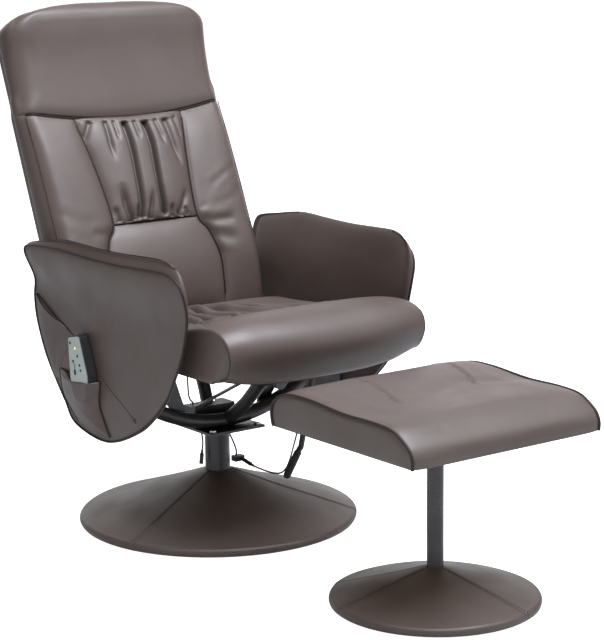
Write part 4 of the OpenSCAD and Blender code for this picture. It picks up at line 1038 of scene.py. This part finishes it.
def handset_near(row):
    """How far each point of the arm's face is from the handset behind the pouch, in mm."""
    y = ARM_FRONT + row[:, 0] * ARM_LEN - HANDSET_Y
    z = ARM_LOW + row[:, 1] * ARM_H - HANDSET_Z
    across, up = y * LEAN_COS - z * LEAN_SIN, y * LEAN_SIN + z * LEAN_COS
    low_r = HANDSET_W * 0.35
    below = np.minimum(0, up + HANDSET_LEN / 2 - low_r)
    half = mix(low_r, HANDSET_W / 2, smooth((up + HANDSET_LEN / 2 - low_r) / 30))
    return np.maximum(0, np.hypot(across, below) - half - 1.0)


def pouch_depth(a, b, row, edge):
    """The panel is taut from the handset's outline to its own sewn edges."""
    near = handset_near(row)
    to_edge, _ = far_from(row[:, 0] * ARM_LEN, row[:, 1] * ARM_H, edge * np.array([ARM_LEN, ARM_H]))
    share = to_edge / (near + to_edge + 1e-6)
    return POUCH_LIFT * share**0.9, POUCH_T


pouch_rows = flap(
    "handset_pocket", [[0.818, 0.318], [0.813, 0.262], [0.802, 0.197], [0.772, 0.137], [0.70, 0.05]],
    [[0.541, 0.308], [0.551, 0.189], [0.524, 0.103], [0.487, 0.02]],
    [[0.70, 0.05], [0.63, 0.02], [0.56, 0.01], [0.487, 0.02]],
    [[0.818, 0.318], [0.785, 0.296], [0.743, 0.282], [0.669, 0.287], [0.607, 0.298], [0.541, 0.308]],
    pouch_depth, 60, 80)

SLANT = [[0.80, 0.582], [0.723, 0.527], [0.60, 0.42], [0.496, 0.301], [0.397, 0.225], [0.324, 0.163]]


def make_trims():
    """The pouches' bound edges, and the slanting seam with its tack at the lower end."""
    across = (1, 0, 0)
    seam = evenly(curve(SLANT, 8), 70)
    trims("pocket_trims", [tube(pouch_rows[:, 0], 1.5, across), tube(pouch_rows[:, -1], 1.5, across),
                           tube(magazine_rows[0][:31] + np.array([0.6, 0, 0]), 1.3, across),
                           tube(arm_surface(seam[:, 0], seam[:, 1], 0.0), 0.7, across)], "carriage")
    end = arm_surface(*np.array(SLANT[-1:]).T, 0.5)[0]
    tack = [tube([end + [0, -i * 6, -5], end + [0, i * 6, 5]], 0.6, across, 6) for i in (-1, 1)]
    stitching("pocket_tack", tack, "carriage")


make_trims()


# ---- wrapped round bases ----
CONE_SHARE = np.array([[0, 1], [0.1, 0.9], [0.35, 0.64], [0.7, 0.3], [0.93, 0.07], [1, 0]])
COVER_LIP, RIM_H, COVER_T, COVER_STITCH_OFF = 1.0, 20.0, 4.0, 4.0
SEAM_ANGLES = (-1.6, -1.1, -0.8, -0.55, -0.35, -0.18, 0, 0.18, 0.35, 0.55, 0.8, 1.1, 1.6)


def make_cover(node, body, middle_y, r_in, r_out, top_z, seams, ridges):
    """seams and ridges are angles in degrees where the cover is sewn or softly creased."""
    rim_r = RIM_H / 2 - COVER_LIP
    rim_x, rim_z = r_out - rim_r, COVER_LIP + rim_r
    line = curve(CONE_SHARE, 8)
    cone = np.stack([mix(r_in, rim_x, line[:, 0]), mix(RIM_H - COVER_LIP, top_z, line[:, 1])], 1)
    turn = np.radians(np.linspace(90, -90, 15)[1:])
    rim = np.stack([rim_x + rim_r * np.cos(turn), rim_z + rim_r * np.sin(turn)], 1)
    under = np.array([[rim_x - 6, COVER_LIP], [rim_x - 14, COVER_LIP], [rim_x - 14, COVER_LIP + 2.5]])
    lip = np.array([[r_in + 1.2, top_z - COVER_T], [r_in, top_z - 1.0]])
    profile = np.vstack([lip, cone, rim, under])
    angles = set(np.round(np.arange(0, 360, 3.0), 3))
    for s in list(seams) + list(ridges):
        angles |= {round((s + d) % 360, 3) for d in SEAM_ANGLES}
    angles = np.array(sorted(angles))
    round_x, round_y = np.cos(np.radians(angles)), np.sin(np.radians(angles))
    rings = []
    for r, z in profile:
        sunk = np.zeros(len(angles))
        for kind, depth in ((seams, 1.0), (ridges, -0.7)):
            for s in kind:
                off = np.radians((angles - s + 180) % 360 - 180) * max(r, 60)
                width = 1.7 if depth > 0 else 5.0
                sunk += depth * np.exp(-((off / width) ** 2))
        wave = 0.5 * np.sin(np.radians(angles) * 5 + r * 0.02) * smooth((r - 60) / 80)
        wave = wave * (z > COVER_LIP + 3)
        ease = 1.0 if z > COVER_LIP + 0.5 else 0.0
        out_share = smooth((r - rim_x) / rim_r)
        rr = r - sunk * ease * out_share
        zz = z + (wave - sunk * (1 - out_share)) * ease
        rings.append(np.stack([rr * round_x, middle_y + rr * round_y, zz], 1))
    skin(node, hoop(rings), body)
    rows = []
    for s in seams:
        j = int(np.argmin(np.abs((angles - s + 180) % 360 - 180)))
        line = np.array(rings)[2:-4, j]
        cos, sin = math.cos(math.radians(s)), math.sin(math.radians(s))
        line = line + np.array([0.5 * cos, 0.5 * sin, 1.7])
        shift = np.array([-sin, cos, 0])
        rows += [stitches(line + shift * k, shift) for k in (-COVER_STITCH_OFF, COVER_STITCH_OFF)]
    stitching(node + "_skin_stitches", rows, body)


make_cover("base_cover", "base", 0.0, 25.3, 280.0, 103.0, (-161.3, -39.9, 79.4), ())
make_cover("stool_cover", "stool", -676.0, 15.3, 189.0, 68.0, (-72.9, 47.1, 167.1), (122.7,))


# ---- footstool cushion ----
STOOL_Y, STOOL_W, STOOL_D, STOOL_BOTTOM, STOOL_H = -676.0, 420.0, 396.0, 319.0, 76.0
STOOL_SKIRT, STOOL_BOARD_TOP, STOOL_SIDE_IN = 12.0, 331.5, 1.5
STOOL_ENDS = ((0.985, 0.6), (0.94, 1.8), (0.8, 2.8), (0.55, 3.4), (0.25, 3.6))  # share of ring, bulge
STOOL_LINE = [[0.5, 0], [0.512, 0.34], [0.48, 0.70], [0.38, 0.91], [0.215, 0.94], [-0.01, 0.85],
              [-0.235, 0.86], [-0.37, 0.79], [-0.455, 0.52], [-0.49, 0.25], [-0.49, 0]]
STOOL_SEAMS = [([[136, 196], [137, 118], [112, 47], [81, -17]], 2.6, 3.0),
               ([[-72, 196], [-70, 96], [-88, 25], [-111, -39]], 2.6, 3.0)]
STOOL_CREASES = [([[-111, -39], [-25, -6], [71, 24], [145, -15], [206, -12]], 1.6, 16.0)]
EDGE_DIP, EDGE_DIP_W = 2.0, 8


def make_stool_cushion():
    """The cushion from side to side, with two sewn seams across it and closed ends."""
    line = evenly(curve(STOOL_LINE, 12), 130)
    rings = []
    for u in np.linspace(-1, 1, 91):
        k = 1 - 0.03 * abs(u) ** 12
        x = u * STOOL_W / 2
        y = line[:, 0] * STOOL_D * k
        z = STOOL_BOTTOM + line[:, 1] * STOOL_H * k * (1.02 - 0.04 * u**4)
        on_top = smooth((line[:, 1] - 0.45) * 4)
        sink = np.zeros(len(line))
        for path, d, w in STOOL_SEAMS:
            sink += crease(x + 0 * y, y, path, d, w, 0.01, 0.08)
        for path, d, w in STOOL_CREASES:
            sink += crease(x + 0 * y, y, path, d, w, 0.2, 0.2)
        sink += EDGE_DIP * np.exp(-(((STOOL_W / 2 - abs(x)) / EDGE_DIP_W) ** 2))
        rings.append(np.stack([x + 0 * y, y, z - sink * on_top], 1))
    first, last = rings[0], rings[-1]
    front, rear = line[-1][0] * STOOL_D + STOOL_SKIRT, line[0][0] * STOOL_D - STOOL_SKIRT

    def hollow(ring):
        """The underside, raised between the skirts so that the board lies in it."""
        x, bottom = ring[0][0], ring[0][2]
        inside = STOOL_W / 2 - STOOL_SKIRT - abs(x) > 0
        top = STOOL_BOARD_TOP if inside else bottom
        ys = np.concatenate([[front] * 6, np.linspace(front, rear, 12)[1:-1], [rear] * 6])
        zs = np.concatenate([np.linspace(bottom, top, 6), [top] * 10, np.linspace(top, bottom, 6)])
        if not inside:
            ys = np.linspace(ring[-1][1], ring[0][1], 24)[1:-1]
        return np.stack([0 * ys + x, ys, zs], 1)

    def end_rings(ring, side):
        made = []
        centre = np.array([0, -2, STOOL_BOTTOM + STOOL_H * 0.45])
        for k, out in STOOL_ENDS:
            q = centre + (ring - centre) * k
            q[:, 0] = side * (STOOL_W / 2 + out - STOOL_SIDE_IN)
            made.append(q)
        return made

    rings = end_rings(first, -1)[::-1] + rings + end_rings(last, 1)
    rings = [np.vstack([ring, hollow(ring)]) for ring in rings]
    points, faces = solid(rings)
    middle = np.array([0, STOOL_Y, 0])
    obj = skin("stool_cushion", (points + middle, faces), "stool_top")
    count, top_count = len(rings), len(line)
    fill_later(obj, rings, lambda i, j: 5 < i < count - 6 and 8 < j < top_count - 9, 1.2, 2.0)
    pipes = [tube(piped(ring) + middle, STOOL_PIPING_R, (1, 0, 0)) for ring in (first, last)]
    trims("stool_piping", pipes, "stool_top")


make_stool_cushion()


# ---- handset lamp ----
LAMP_SHARE, LAMP_R, LAMP_H, LAMP_ARC = (-0.02, 0.31), 2.6, 1.3, 1.45


def make_lamp():
    """The handset's yellow lamp, a low dome."""
    across, up = LAMP_SHARE[0] * HANDSET_W, LAMP_SHARE[1] * HANDSET_LEN
    y = HANDSET_Y + across * LEAN_COS + up * LEAN_SIN
    z = HANDSET_Z - across * LEAN_SIN + up * LEAN_COS
    rings = []
    for k in np.linspace(0, 1, 7):
        r = LAMP_R * math.cos(k * LAMP_ARC)
        x = -(HANDSET_X + HANDSET_T + LAMP_H * math.sin(k * LAMP_ARC))
        turn = np.linspace(0, 2 * math.pi, 24, endpoint=False)
        rings.append(np.stack([0 * turn + x, y + r * np.cos(turn), z + r * np.sin(turn)], 1))
    piece("handset_lamp", solid(rings), lamp_yellow, "handset")


make_lamp()

fill_pads()
